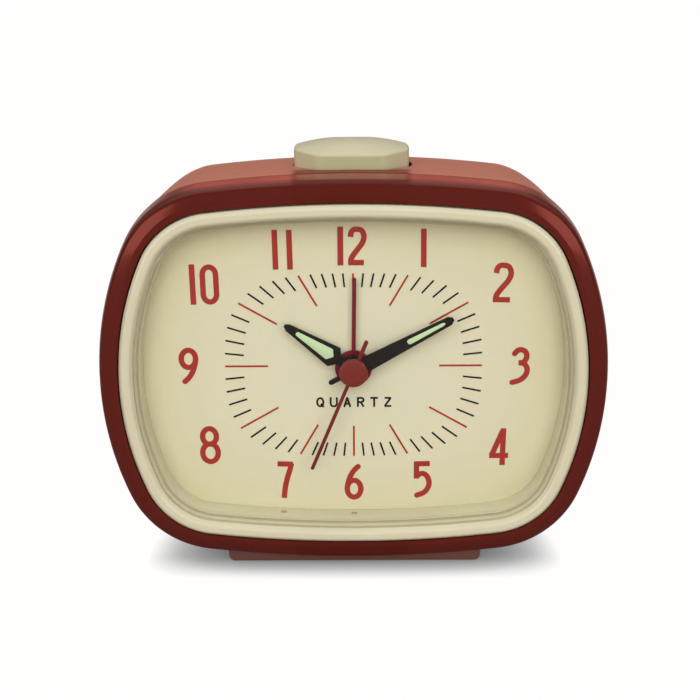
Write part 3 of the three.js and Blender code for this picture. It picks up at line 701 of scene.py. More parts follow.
# the frame's material slots and the materials its own pieces take
SLOT_MAT = {
    "case_red": "shell_red", "bezel_cream": "bezel_cream", "lens_clear": "lens",
    "dial_print": "dial_card", "plinth_brown": "plinth_brown", "pad_rubber": "pad_rubber",
    "button_pale": "button_pale", "hand_black": "hand_black", "hand_crimson": "hand_crimson",
    "boss_red": "boss_red", "lume_green": "lume", "wheel_white": "acetal", "brass": "brass",
    "steel": "steel", "magnet_black": "black_plastic", "board_green": "board_green",
    "cell_wrap": "cell_wrap",
}


def set_material(ob, key):
    ob.data.materials.clear()
    ob.data.materials.append(MAT[key])


NODE_SLOT = {part["node"]: part["material_slot"] for part in frame["record"]["subparts"]}
for node, ob in frame["nodes"].items():
    set_material(ob, SLOT_MAT.get(NODE_SLOT.get(node, ""), "acetal"))


def dress(ob, material, body, slot, *replaced):
    """colour a piece, let it ride on a body, and hide the nodes it replaces; its slot is not used"""
    set_material(ob, material)
    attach(ob, body)
    if replaced:
        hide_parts(*replaced)


# ------------------------------------------------------------------ front frame and bezel
# closed sections: (offset from the case outline, depth, corner radius)
FRAME_SECTION = [
    (0.15, 1.4, 0), (0.15, 0.12, 0.28), (1.3, 0.02, 3.0), (4.12, 1.1, 1.5), (4.5, 3.8, 3.2),
    (4.48, SEAM_DEPTH - SEAM_GAP, 0.2), (1.85, SEAM_DEPTH - SEAM_GAP, 0), (1.85, 12.3, 0.2),
    (0.6, 12.3, 0.2), (0.6, 8.9, 0.3), (2.4, 6.9, 0.5), (2.4, 3.2, 0.3), (0.15, 3.0, 0)]
BEZEL_SECTION = [
    (-0.15, 3.0, 0), (-0.15, -0.15, 0.5), (-0.75, -1.0, 0.75), (-2.45, -1.0, 0.95),
    (-3.15, 0.15, 0.45), (-3.15, 1.7, 0.1), (-4.4, 1.7, 0.15), (-4.4, 3.0, 0)]
FUNNEL_SECTION = [
    (-4.45, 3.1, 0.15), (-4.8, 7.1, 0.12), (-3.6, 7.1, 0), (-3.6, 4.8, 0.2),
    (-1.0, 4.8, 0.1), (-1.0, 3.1, 0.1)]
dress(hoop("front_ring", fillet(FRAME_SECTION, segments=8)),
      "frame_red", "case", "case_red", "front_frame")
dress(hoop("bezel_band", fillet(BEZEL_SECTION, segments=8)),
      "bezel_cream", "case", "bezel_cream", "bezel_ring")


# ------------------------------------------------------------------ lens
def lens():
    """shallow dome: front face, polished edge, then the inner face"""
    offset, front_depth, rear_depth = -3.45, 0.1, 1.5
    scales = (0.12, 0.24, 0.36, 0.48, 0.6, 0.7, 0.8, 0.88, 0.94)
    rows = [(k, front_depth - (1 - k * k)) for k in scales + (0.975,)]
    rows += [(0.992, 0.06), (0.998, 0.14), (1.0, 0.28), (1.0, 1.35), (0.997, 1.48)]
    rows += [(k, rear_depth - (1 - k * k)) for k in (0.985,) + scales[::-1]]
    return case_solid("lens_dome", [(offset, depth, k, 0.0) for k, depth in rows], sharp=50)


dress(lens(), "lens", "case", "lens_clear", "lens")

# ------------------------------------------------------------------ funnel and dial
DIAL_OFFSET = -3.6
dress(hoop("dial_surround", fillet(FUNNEL_SECTION, segments=5)),
      "funnel_cream", "case", "bezel_cream", "dial_funnel")
for i, x in enumerate((-15.7, 0.0)):                # two little catches at the foot of the wall
    z = underside(x, -4.6)
    dress(block(f"wall_catch_{i + 1}", around(x, 0.62), (4.7, 5.7), (z - 0.4, z + 0.22),
                bevel=0.12, segments=2), "catch_cream", "case", "bezel_cream")


def dial_plate():
    """plate with an eased front edge and a round hole on the hands axis"""
    hole_radius, thickness, edge_drop, face_scale = 3.6, 0.8, 0.12, 0.998
    hole = []
    for x, z in outline(DIAL_OFFSET):
        t = math.atan2(z + CASE_Z - AXIS_Z, x)
        hole.append((hole_radius * math.cos(t), AXIS_Z + hole_radius * math.sin(t)))
    rear = DIAL_DEPTH + thickness
    return skin("dial_plate", [
        case_ring(DIAL_OFFSET, DIAL_DEPTH + edge_drop),
        case_ring(DIAL_OFFSET, DIAL_DEPTH, face_scale),
        [at(x, DIAL_DEPTH, z) for x, z in hole],
        [at(x, rear, z) for x, z in hole],
        case_ring(DIAL_OFFSET, rear)])


dress(dial_plate(), "dial_card", "case", "dial_print", "dial")

# ------------------------------------------------------------------ printing on the dial
INK_FRONT, INK_REAR = DIAL_DEPTH - 0.05, DIAL_DEPTH - 0.002


class Ink:
    """flat printed shapes, placed in mm about the hands axis"""

    def __init__(self):
        self.verts, self.faces = [], []

    def add_rows(self, rows):
        for row, depth in rows:
            self.verts += [at(x, depth, AXIS_Z + z) for x, z in row]

    def prism(self, points, front=INK_FRONT):
        self.faces += prism_faces(len(points), len(self.verts))
        self.add_rows([(points, front), (points, INK_REAR)])

    def ribbon(self, points, width, closed, front):
        """a stroke of constant pen width along the points"""
        n, left, right = len(points), [], []
        for i, (x, z) in enumerate(points):
            if closed:
                before, after = points[i - 1], points[(i + 1) % n]
            else:
                before, after = points[max(i - 1, 0)], points[min(i + 1, n - 1)]
            dx, dz = after[0] - before[0], after[1] - before[1]
            length = math.hypot(dx, dz) or 1
            side_x, side_z = -dz / length * width / 2, dx / length * width / 2
            left.append((x + side_x, z + side_z))
            right.append((x - side_x, z - side_z))
        if not closed:
            self.prism(left + right[::-1], front)
            return
        self.faces += grid_faces(4, n, True, len(self.verts))
        self.add_rows([(left, front), (right, front), (right, INK_REAR), (left, INK_REAR)])

    def disc(self, centre, radius, front):
        self.prism([(centre[0] + x, centre[1] + z) for x, z in circle(radius, 20)], front)

    def object(self, name):
        return make(name, self.verts, self.faces, 40)


def spline(points, closed, steps=8):
    """Catmull-Rom curve through the points; open ends are continued straight"""
    n, out = len(points), []
    for i in range(n if closed else n - 1):
        p1, p2 = points[i], points[(i + 1) % n]
        p0, p3 = points[i - 1], points[(i + 2) % n]
        if not closed and i == 0:
            p0 = tuple(2 * a - b for a, b in zip(points[0], points[1]))
        if not closed and i + 2 >= n:
            p3 = tuple(2 * a - b for a, b in zip(points[-1], points[-2]))
        for k in range(steps):
            t = k / steps
            out.append(tuple(
                0.5 * (2 * b + (c - a) * t + (2 * a - 5 * b + 4 * c - d) * t * t
                       + (-a + 3 * b - 3 * c + d) * t ** 3)
                for a, b, c, d in zip(p0, p1, p2, p3)))
    if not closed:
        out.append(points[-1])
    return out


def ellipse(cx, cy, rx, ry):
    return [(cx + rx * x, cy + ry * y) for x, y in circle(1.0, 40)]


def racetrack(n=14):
    """tall loop filling the unit square, with straight sides and rounded ends"""
    points = []
    for start, middle in ((0.0, 0.78), (math.pi, 0.22)):
        for i in range(n + 1):
            t = start + math.pi * i / n
            points.append((0.5 + 0.5 * math.cos(t), middle + 0.22 * math.sin(t)))
    return points


# a stroke is (points, curved, closed, round start, round end);
# points run 0..1 across and up, between pen centres
def line(*points):
    return (points, False, False, False, False)


def curve(*points, start=False, end=False):
    return (points, True, False, start, end)


def loop(points):
    return (points, False, True, False, False)


SIX_STEM = [(0.80, 0.985), (0.50, 0.86), (0.24, 0.68), (0.06, 0.45), (0.0, 0.27)]
SIX_LOOP = ellipse(0.50, 0.272, 0.5, 0.272)


def half_turn(points):
    return [(1 - a, 1 - b) for a, b in points]


GLYPH = {
    "0": [loop(racetrack())],
    "2": [curve((0.0, 0.77), (0.05, 0.90), (0.24, 0.99), (0.52, 1.0), (0.83, 0.96), (0.98, 0.83),
                (0.97, 0.71), (0.82, 0.56), (0.52, 0.40), (0.22, 0.24), (0.05, 0.12),
                (0.0, -0.02)),
          line((-0.18, 0.0), (0.98, 0.0))],
    "3": [curve((0.12, 0.88), (0.30, 0.97), (0.56, 1.0), (0.84, 0.94), (0.94, 0.82),
                (0.86, 0.69), (0.64, 0.61), (0.40, 0.60), start=True),
          curve((0.46, 0.60), (0.76, 0.58), (0.96, 0.48), (1.0, 0.35), (0.86, 0.20),
                (0.52, 0.07), (0.03, 0.0), end=True)],
    "4": [line((0.74, 1.07), (0.74, -0.07)), line((0.70, 1.0), (0.05, 0.23)),
          line((-0.10, 0.215), (1.10, 0.235))],
    "5": [line((1.08, 1.0), (-0.10, 1.0)), line((0.08, 1.05), (0.05, 0.53)),
          curve((0.0, 0.575), (0.26, 0.665), (0.54, 0.69), (0.84, 0.61), (1.0, 0.44),
                (0.94, 0.26), (0.62, 0.09), (0.06, 0.0), end=True)],
    "6": [curve(*SIX_STEM, start=True), loop(SIX_LOOP)],
    "7": [line((-0.12, 1.0), (1.10, 1.0)),
          curve((1.0, 1.03), (0.90, 0.86), (0.68, 0.55), (0.52, 0.25), (0.45, -0.07))],
    "8": [loop(ellipse(0.49, 0.765, 0.445, 0.235)), loop(ellipse(0.5, 0.27, 0.5, 0.27))],
    "9": [curve(*half_turn(SIX_STEM), start=True), loop(half_turn(SIX_LOOP))],
    "Q": [loop(ellipse(0.5, 0.5, 0.5, 0.5)), line((0.6, 0.3), (1.05, -0.1))],
    "U": [curve((0, 1.1), (0, 0.35), (0.18, 0.06), (0.5, 0.0), (0.82, 0.06), (1, 0.35),
                (1, 1.1))],
    "A": [line((0.0, -0.1), (0.5, 1.08)), line((0.5, 1.08), (1.0, -0.1)),
          line((0.15, 0.3), (0.85, 0.3))],
    "R": [line((0.05, -0.1), (0.05, 1.1)),
          curve((0.0, 1.0), (0.6, 1.0), (0.92, 0.88), (0.92, 0.62), (0.6, 0.5), (0.0, 0.5)),
          line((0.5, 0.5), (0.98, -0.08))],
    "T": [line((-0.1, 1.0), (1.1, 1.0)), line((0.5, 1.0), (0.5, -0.1))],
    "Z": [line((0.0, 1.0), (1.05, 1.0)), line((0.98, 0.98), (0.04, 0.02)),
          line((-0.05, 0.0), (1.08, 0.0))],
}


def glyph(ink, char, x0, x1, z0, z1, pen, tilt=0.0):
    """one character filling a box, tilted clockwise about the middle of the box"""
    cx, cz = (x0 + x1) / 2, (z0 + z1) / 2
    if char == "1":                                 # one upright bar, as wide as its box
        pen = x1 - x0
        over = pen / 2 / (z1 - z0 - pen)
        strokes = [line((0.5, -over), (0.5, 1 + over))]
    else:
        strokes = GLYPH[char]

    def place(u, v):
        x, z = x0 + pen / 2 + u * (x1 - x0 - pen), z0 + pen / 2 + v * (z1 - z0 - pen)
        dx, dz = turned(x - cx, z - cz, tilt)
        return (cx + dx, cz + dz)

    for k, (points, curved, closed, round_start, round_end) in enumerate(strokes):
        points = [place(u, v) for u, v in points]
        if curved:
            points = spline(points, closed)
        front = INK_FRONT - 0.0015 * k              # overlapping strokes never share a plane
        ink.ribbon(points, pen, closed, front)
        if round_start:
            ink.disc(points[0], pen / 2, front - 0.0007)
        if round_end:
            ink.disc(points[-1], pen / 2, front - 0.0007)


NUMERAL_PEN = 1.22
NUMERALS = [  # bottom z, top z, tilt in degrees, then (character, left x, right x)
    (22.91, 31.56, 0.0, ("1", -3.34, -2.06), ("2", -1.10, 3.05)),
    (22.43, 31.02, 0.0, ("1", 14.70, 15.93)),
    (14.39, 23.36, 1.2, ("2", 30.43, 34.86)),
    (-4.63, 4.18, 1.5, ("3", 34.30, 38.78)),
    (-23.5, -14.64, 1.5, ("4", 29.9, 34.64)),
    (-31.18, -22.45, -1.0, ("5", 13.17, 17.33)),
    (-31.62, -22.96, 0.0, ("6", -2.17, 2.09)),
    (-31.22, -22.39, 1.5, ("7", -17.48, -13.45)),
    (-22.97, -13.94, -1.2, ("8", -34.37, -29.7)),
    (-4.17, 4.37, -0.5, ("9", -38.42, -34.06)),
    (14.17, 23.28, -1.6, ("1", -35.5, -34.26), ("0", -33.25, -29.13)),
    (22.02, 30.9, -1.2, ("1", -17.45, -16.22), ("1", -14.32, -13.09)),
]
numerals = Ink()
for z0, z1, tilt, *characters in NUMERALS:
    for char, x0, x1 in characters:
        glyph(numerals, char, x0, x1, z0, z1, NUMERAL_PEN, tilt)
dress(numerals.object("dial_numerals"), "ink_red", "case", "dial_print")

TRACK_X, TRACK_Z, TRACK_POWER = 28.22, 21.1, 3.11   # superellipse through the outer tick ends


def tick(ink, minute, inner, width):
    """a radial bar from the given fraction of the track's radius out to the track"""
    t = math.radians(minute * 6)
    dx, dz = math.sin(t), math.cos(t)
    outer_r = (abs(dx / TRACK_X) ** TRACK_POWER
               + abs(dz / TRACK_Z) ** TRACK_POWER) ** (-1 / TRACK_POWER)
    inner_r = outer_r * inner
    nx, nz = dz * width / 2, -dx * width / 2
    ink.prism([(dx * r + side * nx, dz * r + side * nz)
               for r, side in ((inner_r, -1), (outer_r, -1), (outer_r, 1), (inner_r, 1))])


hour_ink, minute_ink = Ink(), Ink()
for i in range(60):
    if i % 5 == 0:
        tick(hour_ink, i, inner=0.665, width=0.42)
    else:
        tick(minute_ink, i, inner=0.853, width=0.40)
dress(hour_ink.object("dial_hour_ticks"), "ink_tick", "case", "dial_print")
WORD_LEFT, LETTER_PITCH, LETTER_WIDTH = -8.3, 2.98, 1.8
for i, char in enumerate("QUARTZ"):
    x = WORD_LEFT + i * LETTER_PITCH
    glyph(minute_ink, char, x, x + LETTER_WIDTH, -9.6, -7.25, pen=0.44)
dress(minute_ink.object("dial_minute_ticks"), "ink_black", "case", "dial_print")

# ------------------------------------------------------------------ hands
# blades and slots are (x, z) about the hands axis, drawn pointing to twelve
ALARM_TURN, HOUR_TURN, MINUTE_TURN, SECOND_TURN = 0.8, 304.1, 61.6, 202.4   # degrees clockwise
HOUR_DEPTHS, MINUTE_DEPTHS = (4.5, 4.9), (3.5, 3.9)


def turned_outline(points, degrees):
    return [turned(x, z, degrees) for x, z in points]


def hand(name, turn, blade, depths, hub, bore, slot=None, bevel=0.07, tail=None):
    """blade with a round hub and an optional tail, bored, and slotted if a slot is given"""
    ob = prism(name, turned_outline(blade, turn), *depths, z=AXIS_Z)
    added = [prism("add", circle(hub), *depths, z=AXIS_Z)]
    if tail:
        added.append(prism("add", turned_outline(tail, turn), *depths, z=AXIS_Z))
    boolean(ob, added, "UNION")
    through = (depths[0] - 1, depths[1] + 1)
    cuts = [prism("cut", circle(bore), *through, z=AXIS_Z)]
    if slot:
        cuts.append(prism("cut", turned_outline(slot, turn), *through, z=AXIS_Z))
    boolean(ob, cuts)
    bevelled(ob, bevel, 2)
    return ob


def round_end(radius, z, up=1, n=7):
    """half circle from +x to -x, bulging up or down"""
    return [(radius * math.cos(math.pi * i / n), z + up * radius * math.sin(math.pi * i / n))
            for i in range(n + 1)]


def mirrored(points):
    return [(-x, z) for x, z in points]


dress(hand("alarm_pointer", ALARM_TURN, [(-0.44, 2.2), (0.44, 2.2)] + round_end(0.44, 20.05),
           (5.6, 6.0), hub=4.05, bore=2.95),
      "hand_crimson", "alarm_hand_pipe", "hand_crimson", "alarm_hand")

HOUR_BLADE = [(-1.05, 2.0), (1.05, 2.0), (1.0, 3.85), (2.5, 5.1), (0.82, 17.2), (0.25, 18.1),
              (-0.25, 18.1), (-0.82, 17.2), (-2.5, 5.1), (-1.0, 3.85)]
HOUR_SLOT = [(-1.42, 6.3), (0.0, 5.2), (1.42, 6.3), (0.5, 14.7), (0.3, 15.0), (-0.3, 15.0),
             (-0.5, 14.7)]
MINUTE_BLADE = [(-0.8, 1.5), (0.8, 1.5), (1.75, 3.0), (0.98, 23.8), (0.36, 24.7),
                (-0.36, 24.7), (-0.98, 23.8), (-1.75, 3.0)]
MINUTE_SLOT = [(-0.62, 13.9), (-0.36, 13.4), (0.36, 13.4), (0.62, 13.9), (0.38, 22.2),
               (0.16, 22.65), (-0.16, 22.65), (-0.38, 22.2)]
MINUTE_TAIL = [(0.55, 2.4), (-0.55, 2.4)] + mirrored(round_end(0.55, -5.55, up=-1))
dress(hand("hour_pointer", HOUR_TURN, HOUR_BLADE, HOUR_DEPTHS, hub=3.3, bore=2.05,
           slot=HOUR_SLOT, bevel=0.06),
      "hand_black", "hour_hand_pipe", "hand_black", "hour_hand")
dress(hand("minute_pointer", MINUTE_TURN, MINUTE_BLADE, MINUTE_DEPTHS, hub=2.5, bore=1.25,
           slot=MINUTE_SLOT, bevel=0.06, tail=MINUTE_TAIL),
      "hand_black", "minute_hand_pipe", "hand_black", "minute_hand")


def lume_fill(name, slot, turn, depths, scale, middle):
    """fill for a slot, narrowed by scale and shortened about the middle z by 0.35 as much"""
    shorten = 1 - (1 - scale) * 0.35
    points = [(x * scale, middle + (z - middle) * shorten) for x, z in slot]
    ob = prism(name, turned_outline(points, turn), depths[0] + 0.05, depths[1] - 0.03, z=AXIS_Z)
    bevelled(ob, 0.05, 2)
    return ob


dress(lume_fill("hour_lume", HOUR_SLOT, HOUR_TURN, HOUR_DEPTHS, scale=0.985, middle=9.6),
      "lume", "hour_hand_pipe", "lume_green", "hour_hand_lume")
dress(lume_fill("minute_lume", MINUTE_SLOT, MINUTE_TURN, MINUTE_DEPTHS, scale=0.98, middle=18),
      "lume", "minute_hand_pipe", "lume_green", "minute_hand_lume")

TIP_HALF, TIP_Z, TAIL_HALF, TAIL_Z = 0.39, 24.06, 0.46, -7.38
SECOND_BLADE = ([(-TAIL_HALF, TAIL_Z), (-TIP_HALF, 0)] + mirrored(round_end(TIP_HALF, TIP_Z))
                + [(TIP_HALF, 0)] + round_end(TAIL_HALF, TAIL_Z, up=-1)[:-1])
dress(hand("seconds_pointer", SECOND_TURN, SECOND_BLADE, (2.5, 2.72), hub=2.4, bore=0.5,
           bevel=0.04),
      "hand_red", "second_hand_arbor", "hand_crimson", "second_hand")
# open section: (radius, depth, corner radius)
CAP_SECTION = [(0.0, 1.42, 0), (2.2, 1.42, 1.6), (3.15, 1.62, 0.35), (3.15, 2.45, 0.08),
               (0.0, 2.45, 0)]
dress(lathe("seconds_cap", fillet(CAP_SECTION, closed=False), 0, AXIS_Z, 96),
      "boss_red", "second_hand_arbor", "boss_red", "second_hand_boss")

# ------------------------------------------------------------------ button
BUTTON_X, button_y, _ = box_centre("snooze_button")
BUTTON_DEPTH = button_y - Y_FRONT
BUTTON_HALF_X = 12.67
BUTTON_HALF_Y = (BUTTON_HIGH.y - BUTTON_LOW.y) / 2 / MM
BUTTON_TOP = BUTTON_HIGH.z / MM
BUTTON_EDGE = BUTTON_TOP - 1.7


def button_plan(grow=0.0):
    """plan of (x, y) about the button's centre, its corners cut three times over"""
    half_x, half_y = BUTTON_HALF_X + grow, BUTTON_HALF_Y + grow
    corner = [(half_x, 2.6), (half_x - 1.1, 4.3), (8.6 + grow, half_y - 1.3),
              (6.9 + grow, half_y - 0.25), (5.2, half_y)]
    plan = corner + [(-x, y) for x, y in reversed(corner)]
    plan = plan + [(x, -y) for x, y in reversed(plan)]
    for _ in range(3):
        cut = []
        for (ax, ay), (bx, by) in zip(plan, plan[1:] + plan[:1]):
            cut += [(ax * 0.75 + bx * 0.25, ay * 0.75 + by * 0.25),
                    (ax * 0.25 + bx * 0.75, ay * 0.25 + by * 0.75)]
        plan = cut
    grow_x = half_x / max(x for x, _ in plan)
    grow_y = half_y / max(y for _, y in plan)
    return [(x * grow_x, y * grow_y) for x, y in plan]


def upright(name, rows, sharp=35.0, cx=0.0):
    """rows of (plan points, z) over the button's depth, closed at both ends"""
    rings = [[at(cx + x, BUTTON_DEPTH + y, z) for x, y in points] for points, z in rows]
    return skin(name, rings, [at(cx, BUTTON_DEPTH, row[1]) for row in (rows[0], rows[-1])], sharp)


def inset(points, distance):
    """move a counter-clockwise outline inwards"""
    out = []
    for i, (x, y) in enumerate(points):
        (ax, ay), (bx, by) = points[i - 1], points[(i + 1) % len(points)]
        tx, ty = bx - ax, by - ay
        length = math.hypot(tx, ty)
        out.append((x - ty / length * distance, y + tx / length * distance))
    return out


def button_cap():
    """straight sides, a rounded edge, then a low crown"""
    round_r, round_start, round_steps = 0.75, BUTTON_EDGE - 0.45, 8
    plan = button_plan()
    rows = [(inset(plan, 0.15), 82.2), (plan, 82.4), (plan, 86.0), (plan, round_start)]
    for i in range(1, round_steps):
        a = math.pi / 2 * i / round_steps
        rows.append((inset(plan, round_r * (1 - math.cos(a))),
                     round_start + round_r * math.sin(a) * 0.95))
    crown, crown_z = inset(plan, round_r), BUTTON_EDGE + 0.28
    for k in (1.0, 0.95, 0.88, 0.78, 0.66, 0.52, 0.38, 0.24, 0.1):
        rows.append(([(x * k, y * k) for x, y in crown],
                     crown_z + (BUTTON_TOP - crown_z) * (1 - k ** 2.1)))
    return upright("button_cap", rows, 50, BUTTON_X)


def button_stem():
    """turned front to back, then stood upright"""
    radius, length, foot_z = 2.0, 9.8, 72.6
    ob = lathe("stem", [(0, 0), (radius, 0), (radius, length), (0, length)], 0, 0, 32)
    ob.data.transform(Matrix.Translation(at(BUTTON_X, STEM_DEPTH, foot_z))
                      @ Matrix.Rotation(math.pi / 2, 4, "X")
                      @ Matrix.Translation((0, -y_at(0), 0)))
    return ob


cap = button_cap()
flange = block("flange", around(BUTTON_X, 13.9), around(STEM_DEPTH, 4.5), (82.25, 83.2),
               bevel=0.2, segments=2)
dress(joined("button_body", [cap, flange, button_stem()]),
      "button_pale", "snooze_plunger", "button_pale", "snooze_button")

# ------------------------------------------------------------------ rear shell
DOOR_Z = 18.6
SWITCH_X, SWITCH_SLOT_Z = 32.0, 65.5
SCREW_XZ = []
for node in sorted(n for n in frame["nodes"] if n.startswith("case_screw")):
    x, _, z = box_centre(node)
    SCREW_XZ.append((x, z))

# (offset from the case outline, depth)
INNER_WALL = [(-1.9, 38.8), (-0.1, 37.2), (0.75, 34.0), (1.5, 26.0), (2.1, 14.0),
              (2.1, SEAM_DEPTH + 0.25)]
SHELL_LIP = [(2.2, SEAM_DEPTH + SEAM_GAP), (4.04, SEAM_DEPTH + SEAM_GAP),
             (4.2, SEAM_DEPTH + 0.18), (4.33, SEAM_DEPTH + 0.28), (4.4, SEAM_DEPTH + 0.42),
             (4.42, SEAM_DEPTH + 0.6), (4.38, 12.0)]
OUTER_WALL = [(4.32, 14.0), (3.58, 26.0), (2.75, 34.0), (1.95, 38.2)]


def rear_body():
    """hollow shell, from the middle of its inner floor round the lip to the rear face"""
    floor_offset, floor_depth = INNER_WALL[0]
    wall_offset, wall_depth = OUTER_WALL[-1]
    turn_in = 3.3                                   # of the rounded rear edge
    walls = INNER_WALL + SHELL_LIP
    for (offset0, depth0), (offset1, depth1) in zip(OUTER_WALL, OUTER_WALL[1:]):
        walls += [(offset0 + (offset1 - offset0) * i / 6, depth0 + (depth1 - depth0) * i / 6)
                  for i in range(6)]
    walls.append(OUTER_WALL[-1])
    for i in range(1, 11):
        a = math.pi / 2 * i / 10
        walls.append((wall_offset - turn_in * (1 - math.cos(a)),
                      wall_depth + (BACK_DEPTH - wall_depth) * math.sin(a)))
    rear_offset = wall_offset - turn_in
    rows = [(floor_offset, floor_depth, 0.5)] + [(*wall, 1.0) for wall in walls]
    rows += [(rear_offset, BACK_DEPTH, 0.8), (rear_offset, BACK_DEPTH, 0.5)]
    return case_solid("rear_body", [
        (offset, depth, scale, 0.95 * min(1.0, max(0.0, (depth - 10.6) / 12.0)))
        for offset, depth, scale in rows])


def shell_cutters():
    knobs_x, knobs_half = (TIME_X + ALARM_X) / 2, (ALARM_X - TIME_X) / 2
    cutters = [upright("cut", [(button_plan(0.4), 81.0), (button_plan(0.4), 90.0)])]
    openings = [                                    # outline, front depth, rear depth
        (stadium(0, DOOR_Z, 29.6, 8.5, 1.2), 39.35, 42),                # door recess
        (stadium(-0.8, DOOR_Z, 27.2, 7.0, 1.0), 38, 40),                # opening behind it
        ([(TIME_X + x, AXIS_Z + z) for x, z in circle(2.0, 40)], 38, 42),
        ([(ALARM_X + x, AXIS_Z + z) for x, z in circle(2.0, 40)], 38, 42),
        (stadium(knobs_x, AXIS_Z, knobs_half + 7.4, 7.4, 7.3, 16), 40.55, 42),
        (stadium(SWITCH_X, SWITCH_SLOT_Z, 1.6, 5.0, 0.5), 38, 42),      # switch slot
        (stadium(SWITCH_X, SWITCH_SLOT_Z, 3.6, 7.2, 1.2), 40.5, 42)]    # recess round it
    for x, half_z in ((-7.2, 5), (-3.6, 8), (0, 9), (3.6, 8), (7.2, 5)):   # upright slots
        openings.append((stadium(x, 68, 0.7, half_z, 0.69), 38, 42))
    cutters += [prism("cut", *opening) for opening in openings]
    return cutters + [prism("cut", circle(2.4, 48), 36, 42, x, z) for x, z in SCREW_XZ]


shell = rear_body()
boolean(shell, shell_cutters())
# closed section of a screw post: (radius, depth)
POST_SECTION = [(1.4, 12.6), (2.9, 12.6), (2.9, 39.0), (2.4, 39.0), (2.4, 22.0), (1.4, 22.0),
                (1.4, 12.6)]
posts = [lathe("post", POST_SECTION, x, z, 40) for x, z in SCREW_XZ]
dress(joined("rear_body", [shell] + posts, sharp=32),
      "shell_red", "case", "case_red", "rear_shell")


# ------------------------------------------------------------------ plinth
def plinth():
    """foot whose top follows the underside of the case"""
    half, case_offset, steps = 27.3, 4.35, 40
    wide = half + 1.0
    end_z = underside(wide, case_offset) + 0.9
    points = fillet([(-wide, end_z, 0), (-half - 0.8, 0.9, 0.5), (-half, 0.1, 0.6),
                     (half, 0.1, 0.6), (half + 0.8, 0.9, 0.5), (wide, end_z, 0)],
                    closed=False, segments=4)
    for i in range(1, steps):
        x = wide - 2 * wide * i / steps
        points.append((x, underside(x, case_offset) + 0.25))
    ob = prism("plinth_foot", points, 3.4, 35.5)
    bevelled(ob, 0.25, 3, angle=50)
    return ob


dress(plinth(), "plinth_brown", "case", "plinth_brown", "plinth")
for side in ("left", "right"):
    low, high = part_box(f"foot_pad_{side}")
    pad = block(f"pad_{side}", (low.x / MM, high.x / MM),
                (low.y / MM - Y_FRONT, high.y / MM - Y_FRONT), (0.0, 0.55),
                bevel=0.18, segments=2)
    dress(pad, "pad_rubber", "case", "pad_rubber", f"foot_pad_{side}")

# ------------------------------------------------------------------ back: door, knobs, switch, screws
parts = [block("door", around(0, 29.25), (39.6, BACK_DEPTH + 0.02), around(DOOR_Z, 8.15),
               bevel=0.5)]
for i in range(5):                                  # grip ribs, the middle one longest
    parts.append(block("rib", around(0, 6.5 - abs(i - 2) * 0.6),
                       (BACK_DEPTH - 0.2, BACK_DEPTH + 0.45), around(24.6 - i * 1.15, 0.28),
                       bevel=0.2, segments=2))
dress(joined("door_panel", parts), "shell_red", "door_body", "case_red", "battery_door")

# (radius, depth) from the front end of the shaft to the rear of the knob
KNOB_SECTION = [
    (0, 22.7), (1.4, 22.7), (1.4, 41.2), (5.2, 41.2), (5.9, 41.45), (6.15, 41.8), (6.2, 43.0),
    (6.2, 46.0), (6.15, 47.6), (6.0, 48.3), (5.6, 48.75), (5.0, 48.95), (4.6, 49.0),
    (4.3, 48.7), (4.1, 48.45), (2.0, 48.35), (0, 48.3)]
KNOB_FLUTES, FLUTE_DEPTH = 30, 0.16


def fluted(i, radius, angle):
    """flutes on rows 5 to 9 of the section, the rim of the knob"""
    if 5 <= i <= 9:
        return radius - FLUTE_DEPTH + FLUTE_DEPTH * math.cos(KNOB_FLUTES * angle)
    return radius


for kind, x in (("time", TIME_X), ("alarm", ALARM_X)):
    dress(lathe(f"{kind}_knob", KNOB_SECTION, x, AXIS_Z, 240, 30, fluted),
          "shell_red", f"{kind}_set_shaft", "case_red", f"{kind}_set_knob")

SLIDER_Z = 63.5
parts = [block("slider", around(SWITCH_X, 1.25), (38.0, 43.0), around(SLIDER_Z, 2.45),
               bevel=0.35),
         block("slide_plate", around(SWITCH_X, 3.0), (37.6, 38.4), around(SLIDER_Z, 4.9),
               bevel=0.15, segments=2)]
for i in range(3):
    parts.append(block("rib", around(SWITCH_X, 1.1), (42.8, 43.25), around(62.2 + i * 1.3, 0.2),
                       bevel=0.12, segments=2))
dress(joined("slide_knob", parts), "bezel_cream", "alarm_slider", "bezel_cream", "alarm_switch")

# (radius, depth) from the tip to the rear of the head, which has a cross cut into it
SCREW_SECTION = [(0, 8.4), (1.15, 8.6), (1.15, 22.2), (2.1, 22.2), (2.1, 23.2), (1.9, 23.6),
                 (1.2, 23.85), (0, 23.9)]
for i, (x, z) in enumerate(SCREW_XZ):
    screw = lathe(f"screw_{i + 1}", SCREW_SECTION, x, z, 40)
    boolean(screw, [block("cut", around(x, half_x), (23.0, 25), around(z, half_z))
                    for half_x, half_z in ((1.2, 0.25), (0.25, 1.2))])
    dress(screw, "steel", "case", "steel", f"case_screw_{i + 1}")

# ------------------------------------------------------------------ snooze spring
COIL_TURNS, COIL_R, WIRE_R = 4.5, 3.2, 0.3
TURN_STEPS, WIRE_SIDES = 28, 10
spring_low, spring_high = (corner.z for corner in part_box("snooze_spring"))


